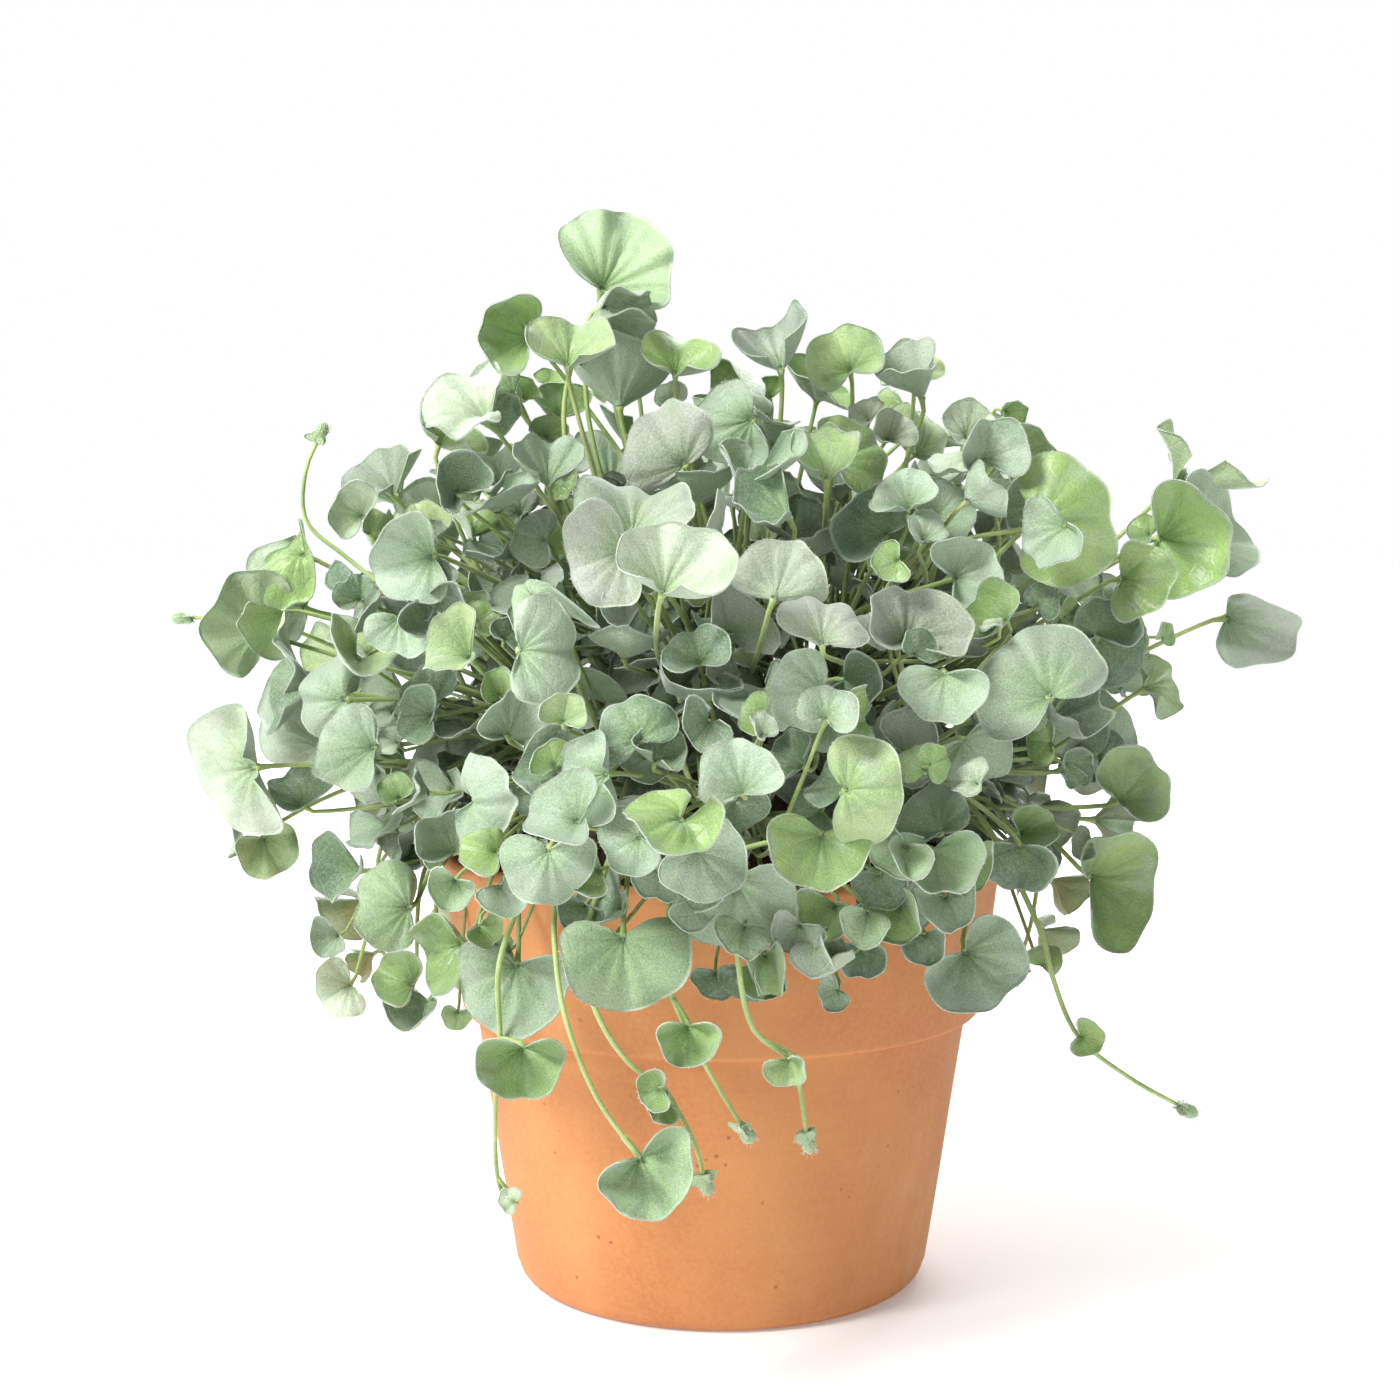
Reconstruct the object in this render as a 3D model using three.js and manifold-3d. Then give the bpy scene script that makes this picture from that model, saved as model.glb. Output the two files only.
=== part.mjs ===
// Potted silver ponyfoot: a dense mound of kidney-shaped leaves on thin stalks,
// rooted in dark soil in a squat terracotta pot. Millimetres, +Z up, the pot's
// axis on Z and its foot on z = 0. The front of the plant faces -Y.

import * as THREE from 'three';
import Module from 'manifold-3d';

const wasm = await Module();
wasm.setup();

// Terracotta pot
const POT_HEIGHT = 100;
const RIM_RADIUS = 65;
const BAND_HEIGHT = 37;
const BAND_FOOT_RADIUS = 60;
const STEP_WIDTH = 3;
const FOOT_RADIUS = 47.3;
const POT_WALL = 5.5;
const POT_FLOOR = 7;
const DRAIN_RADIUS = 7;
const EDGE_ROUND = 2;
const FOOT_ROUND = 4.5;
const POT_SIDES = 40;

// Soil, which stands up as a dome where the root ball rises above the rim
const SOIL_GAP = 0.3;
const SOIL_EDGE_HEIGHT = 91;
const SOIL_CROWN_HEIGHT = 126;
const SOIL_SIDES = 24;

// Leafy stems
const CROWN_HEIGHT = 106;
const STEM_COUNT = 26;
const STEM_RADIUS = 1.6;
const STEM_SIDES = 5;
const STEM_REACH = 50;
const STEM_NORMAL = new THREE.Vector3(1, 0, 0);
const KNOT_RADIUS = 3;
const SHOULDER_LENGTH = 3;
const ROOT_DEPTH = 12;
const ROOT_CIRCLE = 42;
const LOWEST_STEM = 2;
const HOLE_CLEARANCE = 0.35;

// Leaves and their stalks
const BLADE_THICKNESS = 0.7;
const STALK_RADIUS = 1.1;
const STALK_TIP_RADIUS = 0.75;
const STALK_SIDES = 3;
const NECK_LENGTH = 2.6;
const LONG_STALK = 62;
const LARGE_LEAF = 21;
const RIM_ANGLES_LARGE = [-124, -95, -58, -20, 20, 58, 95, 124];
const RIM_ANGLES_SMALL = [-118, -75, -25, 25, 75, 118];
const MIDRIB_SHARE = 0.56;

// Runners and the buds at their ends
const RUNNER_RADIUS = 0.95;
const RUNNER_SIDES = 4;
const RUNNER_STEP = 15;
const RUNNER_ROOT_CIRCLE = 49;
const RUNNER_STALK = 6;
const BUD = { radius: 1.9, length: 4.5 };

// Clear space kept between solids of different nodes
const CLEARANCE = 0.3;

// Mound of foliage, an ellipsoid that the leaves in front are placed on
const MOUND = { centre: 140, halfWidth: 125, halfHeight: 105, halfDepth: 110 };

// Leaves on the sides and back: one try for each point of an even spread
const SPREAD_POINTS = 184;
const SPREAD_LOWEST = -0.42;
const SPREAD_TOP_INSET = 34;
const SPREAD_FOOT_INSET = 12;
const SPREAD_SPACING = 15;
const SEED = 20731;

// The measured view: eye position, tilt of the view, and focal length in pixels
const VIEW = { x: -4.9, y: -532, z: 175, pitch: 4.4, focal: 2300, centre: 700 };

// Leaves measured in the front view, in this order:
// stalk joint x, y and blade tip x, y in pixels of the view, width in mm,
// roll about the midrib in degrees, layer (1 is the front of the mound, 0 its middle),
// fold along the midrib in degrees, cup as a share of the half width.
const LEAF_FIELDS = ['x', 'y', 'tipX', 'tipY', 'width', 'roll', 'layer', 'fold', 'cup'];
const FRONT_LEAVES = [
  // top of the mound
  [602, 290, 642, 216, 33, 5, 0.0, -6, 0.2],
  [604, 312, 668, 297, 22, 55, 0.15, 0, 0.15],
  [600, 317, 676, 326, 24, 78, 0.0, 10, 0.1],
  [528, 337, 476, 322, 20, 0, 0.0, 20, 0.35],
  [568, 362, 573, 318, 20, 0, 0.2, 10, 0.35],
  [627, 380, 603, 360, 19, -10, -0.1, 25, 0.1],
  [676, 372, 688, 331, 18, 0, 0.25, 10, 0.35],
  [757, 386, 716, 352, 20, -35, -0.1, 40, 0.1],
  [780, 366, 770, 323, 20, 0, 0.3, 22, 0.35],
  [850, 371, 830, 326, 19, 0, 0.15, 18, 0.3],
  [912, 378, 903, 342, 18, 0, 0.0, -22, 0.1],
  [922, 390, 852, 388, 20, 75, 0.2, 35, 0.1],
  [818, 395, 814, 412, 19, 0, -0.2, 0, 0.35],
  [770, 412, 724, 386, 17, 60, 0.2, 0, 0],
  [514, 388, 446, 386, 21, 55, 0.05, 0, 0],
  [488, 413, 400, 408, 28, 75, 0.2, 15, 0],
  [443, 441, 456, 414, 19, 20, 0.1, 0, 0.2],
  [560, 416, 535, 384, 15, 50, -0.2, 20, 0],
  // upper rows
  [683, 466, 643, 412, 24, -15, 0.6, 15, 0.2],
  [752, 420, 690, 440, 22, 0, 0.5, -18, -0.1],
  [757, 418, 799, 441, 16, 70, 0.3, 10, 0],
  [632, 530, 652, 467, 27, -10, 0.85, 18, 0.2],
  [664, 590, 690, 528, 23, 0, 1.0, 14, 0.2],
  [624, 550, 553, 574, 22, 0, 0.88, 12, 0.15],
  [752, 474, 742, 498, 19, 0, 0.6, 22, 0.35],
  [826, 476, 812, 432, 18, 10, 0.6, 35, 0.3],
  [836, 462, 886, 432, 19, -10, 0.45, -12, 0.1],
  [908, 508, 897, 470, 15, 0, 0.6, 10, 0.45],
  [888, 440, 895, 398, 13, 20, 0.2, 20, 0.2],
  [972, 455, 914, 448, 18, 60, 0.5, -20, -0.1],
  [968, 436, 938, 402, 14, 55, 0.3, 10, 0],
  [985, 460, 995, 405, 17, 20, 0.5, 20, 0.2],
  [1006, 462, 1070, 432, 20, 20, 0.35, 15, 0],
  [1040, 521, 1121, 520, 30, 0, 0.6, -16, -0.05],
  [1065, 525, 1022, 568, 18, 20, 0.75, 14, 0],
  [1160, 538, 1236, 552, 28, 0, 0.25, 12, 0.12],
  [1183, 478, 1203, 462, 27, 0, 0.1, 18, 0.1],
  [1226, 620, 1302, 640, 30, 10, 0.15, 32, 0.15],
  [1150, 686, 1178, 672, 20, 0, 0.2, -25, 0.1],
  [1122, 578, 1181, 588, 20, 0, 0.45, 20, 0.15],
  [1098, 634, 1108, 580, 15, 20, 0.4, 15, 0.2],
  [1100, 640, 1110, 683, 19, -20, 0.3, 12, 0.15],
  [1050, 697, 1005, 630, 27, 0, 0.9, -8, -0.08],
  [1100, 758, 1122, 722, 14, 40, 0.3, 0, 0],
  [1065, 765, 1098, 762, 12, 30, 0.4, 0, 0],
  [1120, 800, 1155, 763, 20, 0, 0.45, 16, 0.3],
  [1092, 880, 1168, 868, 27, 25, 0.45, 18, 0.15],
  [1020, 832, 1060, 820, 14, 0, 0.65, 40, 0.15],
  [1020, 846, 1015, 911, 17, 0, 0.85, 12, 0.15],
  // left side
  [252, 768, 180, 780, 30, 0, 0.55, -10, -0.1],
  [263, 838, 290, 905, 17, 0, 0.3, 30, 0.1],
  [305, 805, 282, 770, 17, 20, 0.2, 20, 0.1],
  [372, 748, 318, 752, 21, 0, 0.55, 14, 0.1],
  [378, 770, 342, 806, 14, 50, 0.5, 0, 0],
  [342, 700, 295, 702, 21, 0, 0.4, -14, 0],
  [360, 656, 352, 690, 18, 0, 0.6, 25, 0.3],
  [400, 618, 392, 662, 15, 0, 0.65, 10, 0.2],
  [425, 598, 452, 638, 15, 0, 0.6, 14, 0.2],
  [372, 655, 345, 622, 12, 40, 0.45, 20, 0],
  [432, 556, 370, 572, 22, 0, 0.65, 22, 0.1],
  [360, 600, 342, 578, 11, 0, 0.3, 20, 0.2],
  [282, 612, 262, 694, 20, 30, 0.1, 52, 0.1],
  [303, 548, 210, 572, 27, 58, 0.0, -18, 0],
  [362, 516, 325, 492, 14, 0, 0.1, 0, 0.35],
  [372, 535, 405, 515, 12, 40, 0.3, 0, 0],
  [432, 528, 410, 492, 12, 0, 0.2, 34, 0.15],
  [475, 535, 452, 482, 16, 30, 0.35, 38, 0.1],
  [500, 478, 490, 450, 14, 0, 0.2, 15, 0.1],
  [548, 482, 548, 438, 18, 0, 0.45, 14, 0.35],
  [520, 515, 492, 490, 13, 0, 0.3, 20, 0.15],
  [545, 540, 510, 535, 13, 0, 0.45, -14, 0],
  [528, 590, 511, 566, 24, 0, 0.9, -22, -0.15],
  [520, 650, 598, 655, 22, 0, 0.85, 14, 0.1],
  [470, 655, 420, 655, 17, 40, 0.75, 30, 0.2],
  [510, 735, 530, 680, 18, 20, 0.75, 18, 0.1],
  [435, 700, 398, 672, 14, 0, 0.45, 14, 0.2],
  [432, 715, 392, 712, 14, 0, 0.45, 20, 0.15],
  [650, 596, 610, 655, 22, 0, 0.7, 15, 0.15],
  [700, 664, 692, 618, 14, 0, 0.75, 0, 0.5],
  // middle of the mound
  [640, 740, 615, 685, 16, 0, 0.9, -10, 0.05],
  [600, 735, 630, 768, 13, 0, 0.85, 15, 0.15],
  [548, 760, 555, 722, 11, 0, 0.85, 25, 0.2],
  [605, 775, 555, 785, 18, 0, 0.98, -14, -0.05],
  [558, 775, 508, 765, 15, 30, 0.85, 18, 0.1],
  [578, 820, 508, 805, 18, 20, 0.92, 22, 0.1],
  [455, 852, 430, 795, 17, 0, 0.75, 28, 0.2],
  [468, 800, 480, 812, 20, 60, 0.8, 0, 0],
  [496, 852, 448, 846, 13, 0, 0.85, 38, 0.1],
  [640, 838, 592, 860, 14, 0, 0.98, -12, 0],
  [684, 816, 642, 828, 20, 30, 1.1, -25, 0],
  [742, 793, 728, 733, 18, 0, 1.0, 15, 0.25],
  [800, 765, 770, 745, 14, 0, 0.85, 14, 0.1],
  [820, 812, 790, 828, 12, 0, 0.8, 20, 0.2],
  [842, 785, 815, 775, 12, 0, 0.85, 18, 0.1],
  [822, 690, 773, 695, 17, 0, 0.9, -8, 0.05],
  [826, 718, 838, 684, 12, 0, 0.95, 22, 0.1],
  [838, 720, 866, 712, 12, 0, 0.97, 24, 0.2],
  [832, 722, 842, 756, 11, 40, 0.97, 30, 0],
  [845, 680, 880, 700, 13, 0, 0.85, 14, 0.3],
  [945, 674, 940, 734, 18, 0, 0.85, 12, 0.3],
  [965, 740, 1000, 795, 18, 0, 0.75, 14, 0.1],
  [777, 598, 785, 538, 21, 160, 0.8, -14, -0.2],
  [788, 512, 728, 524, 18, 60, 0.7, 15, 0.1],
  [885, 535, 842, 488, 20, 0, 0.55, 18, 0.1],
  [822, 640, 824, 592, 19, 0, 0.88, 14, 0.2],
  [893, 642, 848, 560, 16, 35, 0.7, 24, 0],
  [905, 643, 915, 553, 22, 30, 0.72, 14, 0.1],
  [950, 655, 945, 592, 12, 50, 0.7, 34, 0],
  [1005, 620, 975, 600, 14, 0, 0.75, 20, 0.2],
  [955, 578, 1012, 552, 18, 0, 0.6, 22, 0.1],
  [1002, 508, 1000, 475, 16, 0, 0.3, 18, 0.25],
  [1040, 505, 1002, 520, 16, 0, 0.35, 15, 0.1],
  [960, 480, 935, 465, 12, 60, 0.3, 0, 0],
  [925, 540, 915, 510, 12, 40, 0.65, 30, 0],
  // lower front, hanging over the rim
  [965, 952, 1013, 1000, 23, 0, 0.95, 8, 0.08],
  [932, 848, 940, 903, 20, -10, 0.95, 16, 0.15],
  [940, 832, 915, 770, 17, -20, 0.8, 12, 0.2],
  [846, 790, 911, 785, 21, 0, 1.02, -16, -0.05],
  [822, 835, 808, 902, 20, 0, 1.0, 14, 0.15],
  [880, 905, 890, 939, 12, 0, 0.85, 12, 0.15],
  [697, 850, 735, 898, 18, 0, 1.06, -8, 0.05],
  [735, 880, 730, 972, 26, 0, 0.93, -14, 0.1],
  [623, 938, 628, 1017, 26, 0, 1.08, 12, 0.1],
  [620, 905, 552, 930, 16, 40, 0.95, 18, 0],
  [549, 850, 545, 924, 19, 0, 1.0, -10, -0.04],
  [517, 965, 497, 1046, 25, 0, 0.98, 12, 0.08],
  [409, 908, 348, 905, 21, 0, 0.75, -10, 0.05],
  [350, 985, 312, 1005, 15, 0, 0.5, 14, 0.3],
  [338, 935, 308, 960, 11, 20, 0.4, 20, 0],
  [357, 868, 312, 920, 17, 50, 0.45, 36, 0.1],
  [412, 985, 362, 962, 16, 0, 0.7, 34, 0.1],
  [460, 945, 418, 960, 18, 0, 0.85, 24, 0.1],
  [425, 1000, 398, 1052, 14, 40, 0.7, 24, 0],
  [745, 970, 755, 1032, 12, 30, 1.0, 28, 0],
  [765, 955, 775, 1030, 15, 0, 1.05, 52, 0],
  [848, 952, 798, 990, 17, 20, 1.0, 36, 0.2],
  [862, 948, 860, 991, 12, 0, 0.95, 35, 0],
];

// How far round the joint the lobes of these rows reach, against a full kidney leaf:
// low for a fan, high for a leaf whose lobes nearly close. The others follow their ripple.
const LOBE_REACH = [
  [0.66, [0, 8, 68]],
  [0.74, [5, 10, 12, 18, 24, 25, 26, 37, 38, 43, 44, 48, 51, 56, 60, 85, 101, 102, 128]],
  [0.82, [3, 4, 6, 19, 21, 22, 27, 34, 36, 39, 45, 46, 52, 54, 59, 73, 78, 90, 94, 99, 100, 103, 104, 106, 107, 115, 126, 131]],
  [0.94, [9, 33, 42, 49, 79, 82, 88, 98, 114, 117, 118, 120, 121, 122, 124, 125]],
];

// Runners, measured in the same view: points x, y in pixels with the depth
// towards the viewer in mm, then the leaves that they carry, whose layer is
// a depth in mm too.
const FRONT_RUNNERS = [
  {
    route: [[600, 800, 62], [556, 900, 84], [556, 960, 90], [566, 1020, 92], [598, 1100, 92], [640, 1158, 92]],
    leaves: [[640, 1158, 678, 1216, 21, 0, 92, 0, 0]],
    bud: false,
  },
  {
    route: [[640, 800, 62], [583, 960, 88], [600, 1020, 89], [628, 1062, 87], [664, 1092, 85], [693, 1140, 82],
      [704, 1176, 80]],
    leaves: [[662, 1090, 624, 1096, 9, 0, 86, 20, 0], [668, 1104, 640, 1118, 8, 0, 83, 20, 0]],
    bud: true,
  },
  {
    route: [[680, 820, 70], [668, 980, 90], [684, 1024, 90], [716, 1084, 86], [742, 1126, 83]],
    leaves: [[688, 1026, 688, 1088, 15, 0, 93, 35, 0]],
    bud: true,
  },
  {
    route: [[740, 830, 70], [738, 960, 92], [754, 1030, 90], [792, 1064, 87], [807, 1134, 83]],
    leaves: [[790, 1060, 798, 1100, 10, 20, 89, 30, 0]],
    bud: true,
  },
  {
    route: [[560, 840, 50], [500, 960, 76], [500, 1040, 74], [495, 1110, 70], [498, 1180, 64], [506, 1204, 62]],
    leaves: [[522, 1048, 520, 1110, 19, 0, 80, 15, 0], [514, 1202, 492, 1192, 6, 0, 66, 20, 0]],
    bud: false,
  },
  {
    route: [[960, 800, 40], [1040, 930, 50], [1052, 975, 50], [1078, 1036, 48], [1130, 1078, 46], [1180, 1106, 45]],
    leaves: [[1080, 1036, 1112, 1046, 9, 0, 50, 20, 0]],
    bud: true,
  },
  {
    route: [[440, 640, 10], [350, 560, -8], [306, 520, -12], [306, 470, -12], [318, 440, -12]],
    leaves: [],
    bud: true,
  },
  {
    route: [[440, 700, 0], [330, 645, -14], [255, 618, -16], [190, 618, -16]],
    leaves: [],
    bud: true,
  },
];

// Runners on the back and sides: compass angle from +X in degrees, and the
// length that hangs below the rim in mm
const BACK_RUNNERS = [[20, 34], [62, 46], [100, 30], [138, 52], [170, 38]];

const radians = THREE.MathUtils.degToRad;

// Numbers in 0..1 from a linear congruential generator
function randomNumbers(seed) {
  let state = seed >>> 0;
  return () => {
    state = (Math.imul(state, 1664525) + 1013904223) >>> 0;
    return state / 4294967296;
  };
}

const vector = (x, y, z) => new THREE.Vector3(x, y, z);
const along = (point, direction, distance) => point.clone().addScaledVector(direction, distance);

// Solids

function solidFrom(positions, triangles) {
  const vertProperties = new Float32Array(positions.flatMap((p) => [p.x, p.y, p.z]));
  const triVerts = new Uint32Array(triangles.flat());
  return new wasm.Manifold(new wasm.Mesh({ numProp: 3, vertProperties, triVerts }));
}

// Rings of points along a line, with a radius at each point
function ringsAlong(points, radii, sides, planeNormal) {
  return points.map((point, i) => {
    const before = points[Math.max(i - 1, 0)];
    const after = points[Math.min(i + 1, points.length - 1)];
    const tangent = after.clone().sub(before).normalize();
    const side = along(planeNormal, tangent, -planeNormal.dot(tangent)).normalize();
    const other = tangent.clone().cross(side);
    return Array.from({ length: sides }, (_, j) => {
      const angle = (2 * Math.PI * j) / sides;
      const rim = along(point, side, radii[i] * Math.cos(angle));
      return rim.addScaledVector(other, radii[i] * Math.sin(angle));
    });
  });
}

// Polygonal bar along a line of points
function barSolid(points, radii, sides, planeNormal) {
  const positions = ringsAlong(points, radii, sides, planeNormal).flat();
  const triangles = [];
  for (let i = 0; i < points.length - 1; i += 1) {
    for (let j = 0; j < sides; j += 1) {
      const a = i * sides + j;
      const b = i * sides + ((j + 1) % sides);
      triangles.push([a, b, b + sides], [a, b + sides, a + sides]);
    }
  }
  const last = (points.length - 1) * sides;
  for (let j = 1; j < sides - 1; j += 1) {
    triangles.push([0, j + 1, j], [last, last + j, last + j + 1]);
  }
  return solidFrom(positions, triangles);
}

function bezier(p0, p1, p2, p3, t) {
  const s = 1 - t;
  return p0.clone().multiplyScalar(s * s * s)
    .addScaledVector(p1, 3 * s * s * t)
    .addScaledVector(p2, 3 * s * t * t)
    .addScaledVector(p3, t * t * t);
}

// A direction square to the bend of a curve, or to its chord where it is straight
function bendNormal(p0, p1, p3) {
  const chord = p3.clone().sub(p0);
  const normal = p1.clone().sub(p0).cross(chord);
  if (normal.length() > 0.02 * chord.lengthSq()) return normal.normalize();
  const square = vector(chord.y, -chord.x, 0);
  return (square.length() > 1e-3 ? square : vector(1, 0, 0)).normalize();
}

// Blades

// Distance from the stalk joint to the blade's edge, at an angle from the midrib
function edgeDistance(degrees, width) {
  const a = Math.abs(degrees);
  const body = MIDRIB_SHARE - 0.06 * (a / 90) ** 2;
  const lobe = a > 95 ? Math.sqrt(Math.max(0, 1 - ((a - 95) / 42) ** 2)) : 1;
  return width * body * lobe;
}

// Point of a blade at an angle from the midrib and a share of the way to the edge
function bladePoint(leaf, degrees, share, grown = 0) {
  const angle = radians(degrees);
  const turned = angle * leaf.lobes;
  const reach = share * (edgeDistance(degrees, leaf.width) + grown);
  const x = reach * Math.sin(turned);
  const y = reach * Math.cos(turned);
  const half = leaf.width / 2;
  const bend = radians(leaf.fold) * (1 - Math.exp(-Math.abs(x) / (0.12 * leaf.width)));
  const ripple = leaf.wave * share * share * half * Math.cos(leaf.ripples * angle + leaf.phase);
  const height = Math.abs(x) * Math.sin(bend) + leaf.cup * half * share * share + ripple;
  const point = along(leaf.joint, leaf.across, x * Math.cos(bend));
  point.addScaledVector(leaf.midrib, y);
  return point.addScaledVector(leaf.up, height);
}

// Middle surface of a blade, a fan of facets round the stalk joint, and the
// points of its upper and lower faces, so that both are split alike
function bladeFaces(leaf, thickness, grown = 0) {
  const angles = leaf.width >= LARGE_LEAF ? RIM_ANGLES_LARGE : RIM_ANGLES_SMALL;
  const middle = [bladePoint(leaf, 0, 0), ...angles.map((a) => bladePoint(leaf, a, 1, grown))];
  const normals = middle.map(() => vector(0, 0, 0));
  for (let i = 1; i < middle.length - 1; i += 1) {
    const toLeft = middle[i].clone().sub(middle[0]);
    const toRight = middle[i + 1].clone().sub(middle[0]);
    const normal = toRight.cross(toLeft).normalize();
    [0, i, i + 1].forEach((k) => normals[k].add(normal));
  }
  normals.forEach((normal) => normal.normalize());
  const top = middle.map((p, i) => along(p, normals[i], thickness / 2));
  const bottom = middle.map((p, i) => along(p, normals[i], -thickness / 2));
  return { top, bottom, rims: angles.length };
}

// A plain blade, used to feel for clear space
function bladeSolid(leaf, thickness, grown = 0) {
  const { top, bottom, rims } = bladeFaces(leaf, thickness, grown);
  const count = rims + 1;
  const triangles = [];
  for (let i = 1; i < rims; i += 1) {
    triangles.push([0, i + 1, i], [count, count + i, count + i + 1]);
  }
  for (let i = 0; i < count; i += 1) {
    const next = (i + 1) % count;
    triangles.push([i, next, next + count], [i, next + count, i + count]);
  }
  return solidFrom([...top, ...bottom], triangles);
}

// Adds a blade that grows out of its stalk to a skin. The stalk starts at three
// points of the skin and its last ring, a triangle round the joint, is left
// open in the blade's lower face.
function addLeafTo(skin, startRing, leaf, rings) {
  const { top, bottom, rims } = bladeFaces(leaf, BLADE_THICKNESS);
  const centre = bottom[0];
  const ringPoint = (sideways, forward) => (
    along(along(centre, leaf.across, sideways), leaf.midrib, forward)
  );
  const size = STALK_TIP_RADIUS;
  const open = [
    ringPoint(-0.87 * size, 0.5 * size),
    ringPoint(0, -size),
    ringPoint(0.87 * size, 0.5 * size),
  ];
  const first = skin.positions.length;
  skin.positions.push(...top, ...bottom.slice(1), ...open);
  const over = (i) => first + i;
  const under = (i) => first + rims + i;
  const left = first + 2 * rims + 1;
  const back = left + 1;
  const right = left + 2;
  const half = rims / 2;
  skin.triangles.push(
    [left, under(half + 1), right],
    [back, under(1), left],
    [back, right, under(rims)],
    [over(0), over(1), under(1)],
    [over(0), under(1), back],
    [over(rims), over(0), back],
    [over(rims), back, under(rims)],
  );
  for (let i = 1; i < rims; i += 1) {
    const hub = i <= half ? left : right;
    skin.triangles.push([over(0), over(i + 1), over(i)], [hub, under(i), under(i + 1)]);
    skin.triangles.push([over(i), over(i + 1), under(i + 1)], [over(i), under(i + 1), under(i)]);
  }
  let ring = startRing;
  rings.forEach((points) => {
    const next = points.map((_, j) => skin.positions.length + j);
    skin.positions.push(...points);
    ring = addTube(skin, ring, next);
  });
  addTube(skin, ring, [left, back, right]);
}

// Three walls between two rings of three, turned so that they twist least
function addTube(skin, from, to) {
  const centreOf = (ring) => (
    ring.reduce((sum, i) => sum.add(skin.positions[i]), vector(0, 0, 0)).divideScalar(3)
  );
  const shift = centreOf(to).sub(centreOf(from));
  const twist = [0, 1, 2].map((turn) => from.reduce((sum, index, j) => (
    sum + skin.positions[index].clone().add(shift).distanceToSquared(skin.positions[to[(j + turn) % 3]])
  ), 0));
  const turn = twist.indexOf(Math.min(...twist));
  const turned = [0, 1, 2].map((j) => to[(j + turn) % 3]);
  for (let j = 0; j < 3; j += 1) {
    const k = (j + 1) % 3;
    skin.triangles.push([from[j], from[k], turned[k]], [from[j], turned[k], turned[j]]);
  }
  return turned;
}

// A leaf and stalk on their own
function leafSolid(leaf, line) {
  const [start, ...others] = stalkRings(line);
  const skin = { positions: start, triangles: [[0, 2, 1]] };
  addLeafTo(skin, [0, 1, 2], leaf, others);
  return solidFrom(skin.positions, skin.triangles);
}

// Point on the line of sight through a pixel, at a depth towards the viewer
function sightPoint(px, py, depth) {
  const pitch = radians(VIEW.pitch);
  const right = (px - VIEW.centre) / VIEW.focal;
  const upward = (VIEW.centre - py) / VIEW.focal;
  const ray = vector(
    right,
    Math.cos(pitch) + upward * Math.sin(pitch),
    -Math.sin(pitch) + upward * Math.cos(pitch),
  );
  return vector(VIEW.x, VIEW.y, VIEW.z).addScaledVector(ray, (-VIEW.y - depth) / ray.y);
}

// How far the mound bulges towards the viewer at a pixel
function moundDepth(px, py) {
  const p = sightPoint(px, py, 0);
  const across = (p.x / MOUND.halfWidth) ** 2 + ((p.z - MOUND.centre) / MOUND.halfHeight) ** 2;
  return MOUND.halfDepth * Math.sqrt(Math.max(0.02, 1 - across));
}

// Fills in a leaf's own axes from its midrib and the way its upper side faces
function withAxes(leaf, midrib, facing, roll) {
  const face = along(facing, midrib, -facing.dot(midrib)).normalize();
  const side = midrib.clone().cross(face);
  const up = face.multiplyScalar(Math.cos(radians(roll))).addScaledVector(side, Math.sin(radians(roll)));
  return { ...leaf, midrib, up, across: midrib.clone().cross(up) };
}

// The ripple of an edge differs from leaf to leaf
function withRipple(leaf, random) {
  const wave = 0.05 + 0.09 * random();
  const ripples = 3 + Math.floor(3 * random());
  const phase = 6.28 * random();
  return { ...leaf, wave, ripples, phase, lobes: leaf.lobes ?? 0.76 + 0.032 * phase };
}

// A measured leaf: the midrib's length in the view tells how far it leans
function measuredLeaf(row, number, depthOf) {
  const leaf = Object.fromEntries(LEAF_FIELDS.map((name, i) => [name, row[i]]));
  const depth = depthOf(leaf);
  const joint = sightPoint(leaf.x, leaf.y, depth);
  const inView = sightPoint(leaf.tipX, leaf.tipY, depth).sub(joint);
  const toViewer = vector(VIEW.x, VIEW.y, VIEW.z).sub(joint).normalize();
  inView.addScaledVector(toViewer, -inView.dot(toViewer));
  const share = Math.min(Math.max(inView.length() / (MIDRIB_SHARE * leaf.width), 0.2), 1);
  const lean = Math.sqrt(1 - share * share);
  const flat = inView.normalize().multiplyScalar(share);
  const ripple = randomNumbers(SEED + 7919 * number);
  const outward = vector(joint.x, joint.y, joint.z - CROWN_HEIGHT).normalize().add(vector(0, 0, 1));
  const choices = [lean, -lean].map((l) => {
    const midrib = along(flat, toViewer, l).normalize();
    return withAxes({ ...leaf, joint, sight: toViewer }, midrib, toViewer, leaf.roll);
  });
  const best = choices[0].up.dot(outward) >= choices[1].up.dot(outward) ? choices[0] : choices[1];
  const measured = LOBE_REACH.find(([, rows]) => rows.includes(number));
  return withRipple({ ...best, lobes: measured?.[0] }, ripple);
}

// Stems: even directions over the mound, each rooted in the soil below it

const GOLDEN_TURN = Math.PI * (3 - Math.sqrt(5));

function soilHeight(radius) {
  const share = Math.min(radius / (RIM_RADIUS - POT_WALL), 1);
  return SOIL_EDGE_HEIGHT + (SOIL_CROWN_HEIGHT - SOIL_EDGE_HEIGHT) * (1 - share ** 2.2);
}

function stemDirection(number) {
  const lowest = Math.sin(radians(LOWEST_STEM));
  const height = lowest + (0.97 - lowest) * ((number + 0.5) / STEM_COUNT);
  const turn = number * GOLDEN_TURN;
  const level = Math.sqrt(1 - height * height);
  return vector(level * Math.cos(turn), level * Math.sin(turn), height);
}

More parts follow.
